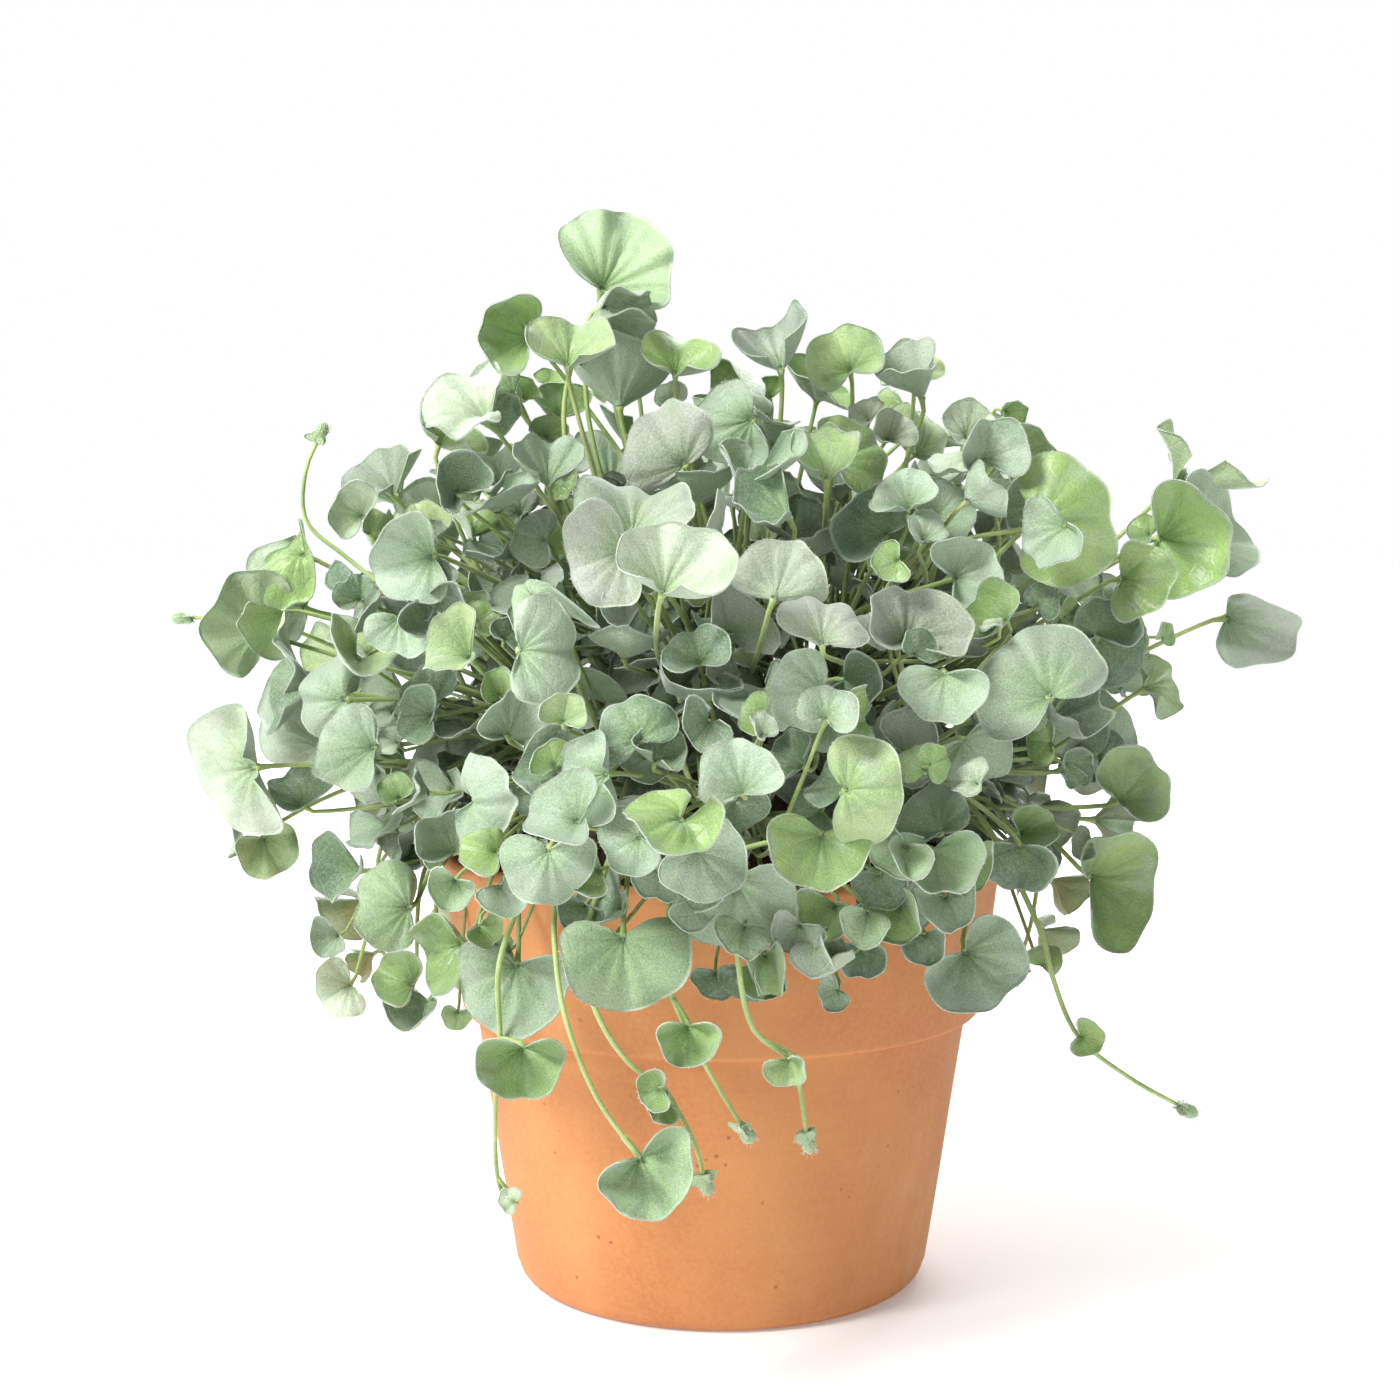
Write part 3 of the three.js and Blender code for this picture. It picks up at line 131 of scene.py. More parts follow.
# Leaves measured in the front view: stalk joint x, y and blade tip x, y in pixels of
# the view, width in mm, roll about the midrib in degrees, layer (1 is the front of the
# mound, 0 its middle), fold in degrees, cup as a share of the half width, and tone.
FRONT_LEAVES = [
    (602, 290, 642, 216, 33, 5, 0, -6, 0.2, "fresh_silver"),
    (604, 312, 668, 297, 22, 55, 0.15, 0, 0.15, "pale"),
    (600, 317, 676, 326, 24, 78, 0, 10, 0.1, "deep"),
    (528, 337, 476, 322, 20, 0, 0, 20, 0.35, "fresh"),
    (568, 362, 573, 318, 20, 0, 0.2, 10, 0.35, "fresh_pale"),
    (627, 380, 603, 360, 19, -10, -0.1, 25, 0.1, "fresh"),
    (676, 372, 688, 331, 18, 0, 0.25, 10, 0.35, "fresh"),
    (757, 386, 716, 352, 20, -35, -0.1, 40, 0.1, "fresh"),
    (780, 366, 770, 323, 20, 0, 0.3, 22, 0.35, "grey"),
    (850, 371, 830, 326, 19, 0, 0.15, 18, 0.3, "fresh_pale"),
    (912, 378, 903, 342, 18, 0, 0, -22, 0.1, "fresh_pale"),
    (922, 390, 852, 388, 20, 75, 0.2, 35, 0.1, "grey"),
    (818, 395, 814, 412, 19, 0, -0.2, 0, 0.35, "fresh"),
    (770, 412, 724, 386, 17, 60, 0.2, 0, 0, "grey"),
    (514, 388, 446, 386, 21, 55, 0.05, 0, 0, "deep"),
    (488, 413, 400, 408, 28, 75, 0.2, 15, 0, "pale"),
    (443, 441, 456, 414, 19, 20, 0.1, 0, 0.2, "fresh"),
    (560, 416, 535, 384, 15, 50, -0.2, 20, 0, "fresh"),
    (683, 466, 643, 412, 24, -15, 0.6, 15, 0.2, "mauve"),
    (752, 420, 690, 440, 22, 0, 0.5, -18, -0.1, "silver"),
    (757, 418, 799, 441, 16, 70, 0.3, 10, 0, "silver"),
    (632, 530, 652, 467, 27, -10, 0.85, 18, 0.2, "grey"),
    (664, 590, 690, 528, 23, 0, 1, 14, 0.2, "pale"),
    (624, 550, 553, 574, 22, 0, 0.88, 12, 0.15, "mauve"),
    (752, 474, 742, 498, 19, 0, 0.6, 22, 0.35, "silver"),
    (826, 476, 812, 432, 18, 10, 0.6, 35, 0.3, "fresh_pale"),
    (836, 462, 886, 432, 19, -10, 0.45, -12, 0.1, "fresh"),
    (908, 508, 897, 470, 15, 0, 0.6, 10, 0.45, "silver"),
    (888, 440, 895, 398, 13, 20, 0.2, 20, 0.2, "pale"),
    (972, 455, 914, 448, 18, 60, 0.5, -20, -0.1, "pale"),
    (968, 436, 938, 402, 14, 55, 0.3, 10, 0, "pale"),
    (985, 460, 995, 405, 17, 20, 0.5, 20, 0.2, "silver"),
    (1006, 462, 1070, 432, 20, 20, 0.35, 15, 0, "fresh_pale"),
    (1040, 521, 1121, 520, 30, 0, 0.6, -16, -0.05, "fresh"),
    (1065, 525, 1022, 568, 18, 20, 0.75, 14, 0, "silver"),
    (1160, 538, 1236, 552, 28, 0, 0.25, 12, 0.12, "fresh"),
    (1183, 478, 1203, 462, 27, 0, 0.1, 18, 0.1, "fresh_pale"),
    (1226, 620, 1302, 640, 30, 10, 0.15, 32, 0.15, "grey"),
    (1150, 686, 1178, 672, 20, 0, 0.2, -25, 0.1, "fresh_pale"),
    (1122, 578, 1181, 588, 20, 0, 0.45, 20, 0.15, "fresh"),
    (1098, 634, 1108, 580, 15, 20, 0.4, 15, 0.2, "deep"),
    (1100, 640, 1110, 683, 19, -20, 0.3, 12, 0.15, "deep"),
    (1050, 697, 1005, 630, 27, 0, 0.9, -8, -0.08, "silver"),
    (1100, 758, 1122, 722, 14, 40, 0.3, 0, 0, "deep"),
    (1065, 765, 1098, 762, 12, 30, 0.4, 0, 0, "deep"),
    (1120, 800, 1155, 763, 20, 0, 0.45, 16, 0.3, "fresh_pale"),
    (1092, 880, 1168, 868, 27, 25, 0.45, 18, 0.15, "fresh"),
    (1020, 832, 1060, 820, 14, 0, 0.65, 40, 0.15, "fresh"),
    (1020, 846, 1015, 911, 17, 0, 0.85, 12, 0.15, "deep"),
    (252, 768, 180, 780, 30, 0, 0.55, -10, -0.1, "pale"),
    (263, 838, 290, 905, 17, 0, 0.3, 30, 0.1, "fresh_pale"),
    (305, 805, 282, 770, 17, 20, 0.2, 20, 0.1, "deep"),
    (372, 748, 318, 752, 21, 0, 0.55, 14, 0.1, "silver"),
    (378, 770, 342, 806, 14, 50, 0.5, 0, 0, "pale"),
    (342, 700, 295, 702, 21, 0, 0.4, -14, 0, "silver"),
    (360, 656, 352, 690, 18, 0, 0.6, 25, 0.3, "fresh_pale"),
    (400, 618, 392, 662, 15, 0, 0.65, 10, 0.2, "silver"),
    (425, 598, 452, 638, 15, 0, 0.6, 14, 0.2, "deep"),
    (372, 655, 345, 622, 12, 40, 0.45, 20, 0, "fresh_pale"),
    (432, 556, 370, 572, 22, 0, 0.65, 22, 0.1, "silver"),
    (360, 600, 342, 578, 11, 0, 0.3, 20, 0.2, "deep"),
    (282, 612, 262, 694, 20, 30, 0.1, 52, 0.1, "fresh_pale"),
    (303, 548, 210, 572, 27, 58, 0, -18, 0, "fresh"),
    (362, 516, 325, 492, 14, 0, 0.1, 0, 0.35, "pale"),
    (372, 535, 405, 515, 12, 40, 0.3, 0, 0, "fresh"),
    (432, 528, 410, 492, 12, 0, 0.2, 34, 0.15, "fresh_pale"),
    (475, 535, 452, 482, 16, 30, 0.35, 38, 0.1, "fresh"),
    (500, 478, 490, 450, 14, 0, 0.2, 15, 0.1, "silver"),
    (548, 482, 548, 438, 18, 0, 0.45, 14, 0.35, "silver"),
    (520, 515, 492, 490, 13, 0, 0.3, 20, 0.15, "grey"),
    (545, 540, 510, 535, 13, 0, 0.45, -14, 0, "silver"),
    (528, 590, 511, 566, 24, 0, 0.9, -22, -0.15, "silver"),
    (520, 650, 598, 655, 22, 0, 0.85, 14, 0.1, "silver"),
    (470, 655, 420, 655, 17, 40, 0.75, 30, 0.2, "fresh_pale"),
    (510, 735, 530, 680, 18, 20, 0.75, 18, 0.1, "silver"),
    (435, 700, 398, 672, 14, 0, 0.45, 14, 0.2, "deep"),
    (432, 715, 392, 712, 14, 0, 0.45, 20, 0.15, "deep"),
    (650, 596, 610, 655, 22, 0, 0.7, 15, 0.15, "deep"),
    (700, 664, 692, 618, 14, 0, 0.75, 0, 0.5, "deep"),
    (640, 740, 615, 685, 16, 0, 0.9, -10, 0.05, "deep"),
    (600, 735, 630, 768, 13, 0, 0.85, 15, 0.15, "silver"),
    (548, 760, 555, 722, 11, 0, 0.85, 25, 0.2, "silver"),
    (605, 775, 555, 785, 18, 0, 0.98, -14, -0.05, "silver"),
    (558, 775, 508, 765, 15, 30, 0.85, 18, 0.1, "deep"),
    (578, 820, 508, 805, 18, 20, 0.92, 22, 0.1, "silver"),
    (455, 852, 430, 795, 17, 0, 0.75, 28, 0.2, "silver"),
    (468, 800, 480, 812, 20, 60, 0.8, 0, 0, "silver"),
    (496, 852, 448, 846, 13, 0, 0.85, 38, 0.1, "fresh"),
    (640, 838, 592, 860, 14, 0, 0.98, -12, 0, "silver"),
    (684, 816, 642, 828, 20, 30, 1.1, -25, 0, "fresh"),
    (742, 793, 728, 733, 18, 0, 1, 15, 0.25, "silver"),
    (800, 765, 770, 745, 14, 0, 0.85, 14, 0.1, "deep"),
    (820, 812, 790, 828, 12, 0, 0.8, 20, 0.2, "deep"),
    (842, 785, 815, 775, 12, 0, 0.85, 18, 0.1, "deep"),
    (822, 690, 773, 695, 17, 0, 0.9, -8, 0.05, "silver"),
    (826, 718, 838, 684, 12, 0, 0.95, 22, 0.1, "silver"),
    (838, 720, 866, 712, 12, 0, 0.97, 24, 0.2, "fresh"),
    (832, 722, 842, 756, 11, 40, 0.97, 30, 0, "pale"),
    (845, 680, 880, 700, 13, 0, 0.85, 14, 0.3, "deep"),
    (945, 674, 940, 734, 18, 0, 0.85, 12, 0.3, "silver"),
    (965, 740, 1000, 795, 18, 0, 0.75, 14, 0.1, "silver"),
    (777, 598, 785, 538, 21, 160, 0.8, -14, -0.2, "mauve"),
    (788, 512, 728, 524, 18, 60, 0.7, 15, 0.1, "deep"),
    (885, 535, 842, 488, 20, 0, 0.55, 18, 0.1, "deep"),
    (822, 640, 824, 592, 19, 0, 0.88, 14, 0.2, "mauve"),
    (893, 642, 848, 560, 16, 35, 0.7, 24, 0, "mauve"),
    (905, 643, 915, 553, 22, 30, 0.72, 14, 0.1, "mauve"),
    (950, 655, 945, 592, 12, 50, 0.7, 34, 0, "mauve"),
    (1005, 620, 975, 600, 14, 0, 0.75, 20, 0.2, "fresh"),
    (955, 578, 1012, 552, 18, 0, 0.6, 22, 0.1, "silver"),
    (1002, 508, 1000, 475, 16, 0, 0.3, 18, 0.25, "deep"),
    (1040, 505, 1002, 520, 16, 0, 0.35, 15, 0.1, "deep"),
    (960, 480, 935, 465, 12, 60, 0.3, 0, 0, "grey"),
    (925, 540, 915, 510, 12, 40, 0.65, 30, 0, "silver"),
    (965, 952, 1013, 1000, 23, 0, 0.95, 8, 0.08, "silver"),
    (932, 848, 940, 903, 20, -10, 0.95, 16, 0.15, "fresh_silver"),
    (940, 832, 915, 770, 17, -20, 0.8, 12, 0.2, "silver"),
    (846, 790, 911, 785, 21, 0, 1.02, -16, -0.05, "fresh_pale"),
    (822, 835, 808, 902, 20, 0, 1, 14, 0.15, "fresh"),
    (880, 905, 890, 939, 12, 0, 0.85, 12, 0.15, "deep"),
    (697, 850, 735, 898, 18, 0, 1.06, -8, 0.05, "silver"),
    (735, 880, 730, 972, 26, 0, 0.93, -14, 0.1, "silver"),
    (623, 938, 628, 1017, 26, 0, 1.08, 12, 0.1, "fresh_silver"),
    (620, 905, 552, 930, 16, 40, 0.95, 18, 0, "silver"),
    (549, 850, 545, 924, 19, 0, 1, -10, -0.04, "silver"),
    (517, 965, 497, 1046, 25, 0, 0.98, 12, 0.08, "silver"),
    (409, 908, 348, 905, 21, 0, 0.75, -10, 0.05, "fresh_silver"),
    (350, 985, 312, 1005, 15, 0, 0.5, 14, 0.3, "pale"),
    (338, 935, 308, 960, 11, 20, 0.4, 20, 0, "silver"),
    (357, 868, 312, 920, 17, 50, 0.45, 36, 0.1, "deep"),
    (412, 985, 362, 962, 16, 0, 0.7, 34, 0.1, "fresh"),
    (460, 945, 418, 960, 18, 0, 0.85, 24, 0.1, "fresh"),
    (425, 1000, 398, 1052, 14, 40, 0.7, 24, 0, "deep"),
    (745, 970, 755, 1032, 12, 30, 1, 28, 0, "deep"),
    (765, 955, 775, 1030, 15, 0, 1.05, 52, 0, "fresh"),
    (848, 952, 798, 990, 17, 20, 1, 36, 0.2, "silver"),
    (862, 948, 860, 991, 12, 0, 0.95, 35, 0, "deep"),
]

# How far round the joint the lobes of these rows reach, against a full kidney leaf:
# low for a fan, high for a leaf whose lobes nearly close. The others follow their ripple.
LOBE_REACH = [
    (0.66, (0, 8, 68)),
    (0.74, (5, 10, 12, 18, 24, 25, 26, 37, 38, 43, 44, 48, 51, 56, 60, 85, 101, 102, 128)),
    (0.82, (3, 4, 6, 19, 21, 22, 27, 34, 36, 39, 45, 46, 52, 54, 59, 73, 78, 90, 94, 99, 100, 103, 104,
            106, 107, 115, 126, 131)),
    (0.94, (9, 33, 42, 49, 79, 82, 88, 98, 114, 117, 118, 120, 121, 122, 124, 125)),
]

# What the detailed blades of some rows have more of: fold, curl, waves at the rim
BLADE_CHANGES = {
    0: {"ruffle": 0.07, "lift": 0.25, "sag": 0.2},
    3: {"ruffle": 0.05, "curl": 0.3},
    37: {"fold": 52, "lift": -0.2, "sag": 0.3},
    61: {"fold": 64, "sag": 0.4},
    62: {"fold": -54, "lift": 0.1, "sag": 0.3},
    71: {"fold": -50},
    135: {"fold": 60, "ruffle": 0.07},
    134: {"fold": 62, "ruffle": 0.06},
}

# Small leaves measured in the same way
SMALL_LEAVES = [
    (770, 398, 752, 378, 10, 0, -0.2, 0, 0, "fresh"),
    (548, 384, 555, 368, 8, 0, -0.3, 0, 0, "fresh"),
    (525, 398, 515, 355, 10, 60, -0.1, 0, 0, "fresh"),
    (672, 400, 664, 372, 8, 0, 0.0, 0, 0, "pale"),
    (546, 438, 562, 418, 10, 0, 0.0, 0, 0.3, "fresh"),
    (870, 420, 842, 400, 10, 60, 0.15, 0, 0, "pale"),
    (1004, 412, 1032, 410, 10, 40, 0.1, 0, 0, "fresh"),
    (1150, 534, 1120, 515, 10, 30, 0.2, 0, 0, "fresh"),
    (1120, 636, 1150, 632, 12, 0, 0.15, 0, 0, "fresh"),
    (1163, 638, 1176, 617, 7, 50, 0.1, 0, 0, "fresh"),
    (1052, 742, 1018, 742, 10, 0, 0.6, 0, 0.3, "fresh"),
    (1090, 842, 1066, 850, 8, 0, 0.5, 0, 0, "silver"),
    (1042, 965, 1060, 930, 9, 0, 0.6, 20, 0.1, "fresh"),
    (888, 895, 865, 862, 12, 0, 0.85, 0, 0, "fresh"),
    (458, 1012, 452, 1040, 7, 0, 0.85, 0, 0.4, "fresh"),
    (556, 478, 575, 495, 9, 0, 0.3, 0, 0, "fresh"),
    (505, 640, 525, 610, 10, 20, 0.6, 0, 0, "deep"),
    (478, 622, 500, 605, 8, 0, 0.6, 0, 0, "fresh"),
    (500, 695, 490, 650, 10, 0, 0.75, 45, 0, "fresh"),
    (393, 712, 366, 706, 10, 30, 0.3, 0, 0, "grey"),
    (398, 742, 375, 735, 8, 40, 0.5, 0, 0, "pale"),
    (563, 722, 568, 678, 10, 0, 0.95, 0, 0.4, "fresh_pale"),
    (555, 765, 545, 740, 9, 0, 0.9, 0, 0, "fresh"),
    (482, 785, 490, 752, 9, 0, 0.75, 0, 0, "fresh_pale"),
    (400, 798, 382, 765, 10, 0, 0.6, 30, 0, "fresh"),
    (405, 795, 412, 758, 10, 30, 0.55, 0, 0, "fresh"),
    (440, 860, 402, 845, 8, 30, 0.6, 0, 0, "fresh"),
    (510, 950, 484, 952, 7, 0, 0.9, 30, 0, "fresh"),
    (762, 735, 742, 680, 8, 30, 0.95, 40, 0, "pale"),
    (765, 715, 737, 712, 9, 0, 0.9, 0, 0, "fresh"),
    (925, 770, 905, 742, 10, 0, 0.9, 0, 0, "fresh"),
    (930, 765, 950, 755, 8, 0, 0.92, 0, 0, "fresh"),
    (978, 782, 945, 770, 9, 50, 0.95, 0, 0, "pale"),
    (898, 560, 868, 572, 9, 0, 0.8, 0, 0, "fresh"),
    (915, 655, 935, 610, 10, 40, 0.8, 0, 0, "deep"),
    (1000, 622, 964, 620, 8, 60, 0.8, 0, 0, "pale"),
    (925, 500, 952, 485, 10, 0, 0.4, 0, 0, "fresh"),
    (1038, 606, 1055, 588, 9, 0, 0.5, 0, 0, "deep"),
    (1065, 618, 1082, 602, 8, 40, 0.4, 0, 0, "fresh"),
    (1060, 690, 1115, 698, 12, 60, 0.3, 0, 0, "fresh"),
    (1025, 720, 1042, 703, 8, 0, 0.6, 0, 0, "fresh"),
    (715, 972, 718, 1024, 10, 0, 0.98, 0, 0, "deep"),
    (838, 990, 800, 1018, 8, 0, 1.02, 0, 0, "silver"),
    (702, 872, 680, 905, 13, 0, 0.98, 20, 0.2, "deep"),
    (660, 868, 655, 905, 12, 0, 0.92, 15, 0.1, "silver"),
    (792, 905, 812, 936, 12, 0, 0.84, 10, 0.2, "deep"),
    (835, 905, 820, 945, 13, 20, 0.95, 30, 0.1, "fresh"),
    (800, 925, 785, 960, 11, 0, 0.98, 20, 0.1, "grey"),
    (905, 900, 930, 925, 12, 0, 0.9, 20, 0.1, "silver"),
    (585, 905, 570, 935, 11, 0, 0.9, 20, 0.1, "deep"),
    (480, 925, 500, 950, 9, 0, 0.9, 20, 0.1, "fresh"),
    (770, 960, 790, 1000, 13, 30, 1.03, 40, 0.1, "fresh"),
    (690, 900, 715, 930, 11, 0, 1, 15, 0.1, "silver"),
    (905, 845, 885, 880, 13, 0, 0.95, 20, 0.1, "fresh_silver"),
    (600, 870, 570, 880, 11, 0, 0.92, 20, 0.1, "fresh"),
    (735, 800, 760, 830, 12, 0, 0.95, 20, 0.15, "deep"),
    (898, 905, 915, 940, 14, 20, 0.98, 35, 0.1, "fresh"),
    (945, 895, 958, 930, 14, 0, 0.95, 25, 0.1, "silver"),
    (868, 912, 858, 948, 13, 0, 1.0, 40, 0.1, "fresh_silver"),
    (925, 935, 935, 965, 11, 10, 1.0, 30, 0.1, "deep"),
    (880, 872, 900, 902, 14, 0, 0.95, 20, 0.1, "deep"),
    (965, 860, 975, 890, 13, 0, 0.95, 20, 0.1, "fresh"),
    (815, 945, 830, 980, 12, 20, 1.03, 45, 0.1, "grey"),
    (745, 925, 735, 960, 13, 0, 1.0, 25, 0.1, "fresh_silver"),
    (610, 940, 600, 968, 11, 0, 1.0, 20, 0.1, "silver"),
    (500, 885, 515, 915, 12, 0, 0.95, 20, 0.1, "silver"),
    (455, 880, 440, 910, 11, 0, 0.95, 20, 0.1, "fresh_silver"),
    (655, 760, 670, 730, 12, 0, 0.9, 15, 0.2, "deep"),
    (710, 720, 690, 745, 12, 0, 0.9, 15, 0.2, "deep"),
]

# Runners: points x, y in pixels with the depth towards the viewer in mm, then their
# leaves, whose layer is a depth in mm, and whether a bud ends the runner
FRONT_RUNNERS = [
    ([(600, 800, 62), (556, 900, 84), (556, 960, 90), (566, 1020, 92), (598, 1100, 92), (640, 1158, 92)],
     [(640, 1158, 678, 1216, 21, 0, 92, 0, 0, "fresh_silver")], False),
    ([(640, 800, 62), (583, 960, 88), (600, 1020, 89), (628, 1062, 87), (664, 1092, 85), (693, 1140, 82),
      (704, 1176, 80)],
     [(662, 1090, 624, 1096, 9, 0, 86, 20, 0, "fresh"),
      (668, 1104, 640, 1118, 8, 0, 83, 20, 0, "fresh")], True),
    ([(680, 820, 70), (668, 980, 90), (684, 1024, 90), (716, 1084, 86), (742, 1126, 83)],
     [(688, 1026, 688, 1088, 15, 0, 93, 35, 0, "fresh")], True),
    ([(740, 830, 70), (738, 960, 92), (754, 1030, 90), (792, 1064, 87), (807, 1134, 83)],
     [(790, 1060, 798, 1100, 10, 20, 89, 30, 0, "fresh_pale")], True),
    ([(560, 840, 50), (500, 960, 76), (500, 1040, 74), (495, 1110, 70), (498, 1180, 64), (506, 1204, 62)],
     [(522, 1048, 520, 1110, 19, 0, 80, 15, 0, "fresh"),
      (514, 1202, 492, 1192, 6, 0, 66, 20, 0, "pale")], False),
    ([(960, 800, 40), (1040, 930, 50), (1052, 975, 50), (1078, 1036, 48), (1130, 1078, 46), (1180, 1106, 45)],
     [(1080, 1036, 1112, 1046, 9, 0, 50, 20, 0, "fresh")], True),
    ([(440, 640, 10), (350, 560, -8), (306, 520, -12), (306, 470, -12), (318, 440, -12)], [], True),
    ([(440, 700, 0), (330, 645, -14), (255, 618, -16), (190, 618, -16)], [], True),
]

# Runners on the back and sides: compass angle from +X, and length below the rim in mm
BACK_RUNNERS = [(20, 34), (62, 46), (100, 30), (138, 52), (170, 38)]

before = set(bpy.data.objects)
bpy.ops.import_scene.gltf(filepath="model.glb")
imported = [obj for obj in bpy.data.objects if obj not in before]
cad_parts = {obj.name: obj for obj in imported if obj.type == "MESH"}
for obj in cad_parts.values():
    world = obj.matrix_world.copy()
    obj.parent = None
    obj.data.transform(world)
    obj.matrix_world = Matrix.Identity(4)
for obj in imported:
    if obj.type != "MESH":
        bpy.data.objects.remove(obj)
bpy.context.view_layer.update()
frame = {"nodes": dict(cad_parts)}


# Numbers and vectors

class Draws:
    """Numbers in 0..1 from a linear congruential generator."""

    def __init__(self, seed):
        self.state = seed & 0xFFFFFFFF

    def __call__(self):
        self.state = (self.state * 1664525 + 1013904223) & 0xFFFFFFFF
        return self.state / 4294967296


def vec(*values):
    return np.array(values, float)


def unit(vector):
    return vector / np.linalg.norm(vector)


UP = vec(0, 0, 1)
EYE = vec(VIEW["x"], VIEW["y"], VIEW["z"])


def curve_through(controls, count):
    """Evenly spaced points on a centripetal curve through the control points."""
    controls = [np.asarray(c, float) for c in controls]
    first = 2 * controls[0] - controls[1]
    last = 2 * controls[-1] - controls[-2]
    padded = [first] + controls + [last]
    dense = []
    for i in range(len(controls) - 1):
        p0, p1, p2, p3 = padded[i:i + 4]
        t1 = math.sqrt(np.linalg.norm(p1 - p0)) or 1e-3
        t2 = t1 + (math.sqrt(np.linalg.norm(p2 - p1)) or 1e-3)
        t3 = t2 + (math.sqrt(np.linalg.norm(p3 - p2)) or 1e-3)
        for t in np.linspace(t1, t2, 12, endpoint=False):
            a1 = (t1 - t) / t1 * p0 + t / t1 * p1
            a2 = (t2 - t) / (t2 - t1) * p1 + (t - t1) / (t2 - t1) * p2
            a3 = (t3 - t) / (t3 - t2) * p2 + (t - t2) / (t3 - t2) * p3
            b1 = (t2 - t) / t2 * a1 + t / t2 * a2
            b2 = (t3 - t) / (t3 - t1) * a2 + (t - t1) / (t3 - t1) * a3
            dense.append((t2 - t) / (t2 - t1) * b1 + (t - t1) / (t2 - t1) * b2)
    dense.append(controls[-1])
    dense = np.array(dense)
    steps = np.concatenate([[0], np.cumsum(np.linalg.norm(np.diff(dense, axis=0), axis=1))])
    wanted = np.linspace(0, steps[-1], count)
    return np.stack([np.interp(wanted, steps, dense[:, k]) for k in range(3)], axis=1)


def curve_length(points):
    return float(np.linalg.norm(np.diff(points, axis=0), axis=1).sum())


def bezier(p0, p1, p2, p3, t):
    s = 1 - t
    return s ** 3 * p0 + 3 * s * s * t * p1 + 3 * s * t * t * p2 + t ** 3 * p3


# Leaves

def edge_distance(degrees, width):
    """Distance from the stalk joint to the blade's edge, at an angle from the midrib."""
    a = np.abs(degrees)
    lobe = np.where(a > 95, np.sqrt(np.maximum(0, 1 - ((a - 95) / 42) ** 2)), 1)
    return width * (MIDRIB_SHARE - 0.06 * (a / 90) ** 2) * lobe


def blade_points(leaf, degrees, share):
    """Points of a blade's middle surface, at angles and shares of the way to the edge.

    With relief, the blade is the detailed one, whose fold is rounded.
    """
    angle = np.radians(degrees)
    reach = share * edge_distance(degrees, leaf["width"])
    x = reach * np.sin(angle * leaf["lobes"])
    y = reach * np.cos(angle * leaf["lobes"])
    half = leaf["width"] / 2
    off = np.abs(x) / leaf["width"]
    crease = -((off / 0.19) ** 2) if "relief" in leaf else -off / 0.12
    bend = math.radians(leaf["fold"]) * (1 - np.exp(crease))
    ripple = leaf["wave"] * share ** 2 * half * np.cos(leaf["ripples"] * angle + leaf["phase"])
    height = np.abs(x) * np.sin(bend) + leaf["cup"] * half * share ** 1.5 + ripple + leaf.get("relief", 0)
    return (
        leaf["joint"]
        + (x * np.cos(bend))[..., None] * leaf["across"]
        + y[..., None] * leaf["midrib"]
        + height[..., None] * leaf["up"]
    )


def coarse_rim(leaf):
    """The CAD blade's points: the joint, then the rim, on the middle, top and bottom."""
    angles = RIM_ANGLES_LARGE if leaf["width"] >= LARGE_LEAF else RIM_ANGLES_SMALL
    degrees = np.array([0] + angles, float)
    share = np.array([0] + [1] * len(angles), float)
    middle = blade_points(leaf, degrees, share)
    normals = np.zeros_like(middle)
    for i in range(1, len(middle) - 1):
        normal = unit(np.cross(middle[i + 1] - middle[0], middle[i] - middle[0]))
        normals[[0, i, i + 1]] += normal
    normals /= np.linalg.norm(normals, axis=1)[:, None]
    lift = normals * CAD_THICKNESS / 2
    return middle, middle + lift, middle - lift


def sight_point(px, py, depth):
    """Point on the line of sight through a pixel, at a depth towards the viewer."""
    pitch = math.radians(VIEW["pitch"])
    right = (px - VIEW["centre"]) / VIEW["focal"]
    upward = (VIEW["centre"] - py) / VIEW["focal"]
    ray = vec(right, math.cos(pitch) + upward * math.sin(pitch), upward * math.cos(pitch) - math.sin(pitch))
    return EYE + ray * (-VIEW["y"] - depth) / ray[1]


def mound_depth(px, py):
    p = sight_point(px, py, 0)
    across = (p[0] / MOUND["half_width"]) ** 2 + ((p[2] - MOUND["centre"]) / MOUND["half_height"]) ** 2
    return MOUND["half_depth"] * math.sqrt(max(0.02, 1 - across))


def with_axes(leaf, midrib, facing, roll):
    face = unit(facing - midrib * facing.dot(midrib))
    side = np.cross(midrib, face)
    up = face * math.cos(math.radians(roll)) + side * math.sin(math.radians(roll))
    return {**leaf, "midrib": midrib, "up": up, "across": np.cross(midrib, up)}


def with_ripple(leaf, random):
    wave = 0.05 + 0.09 * random()
    ripples = 3 + math.floor(3 * random())
    phase = 6.28 * random()
    lobes = leaf.get("lobes") or 0.76 + 0.032 * phase
    return {**leaf, "wave": wave, "ripples": ripples, "phase": phase, "lobes": lobes}


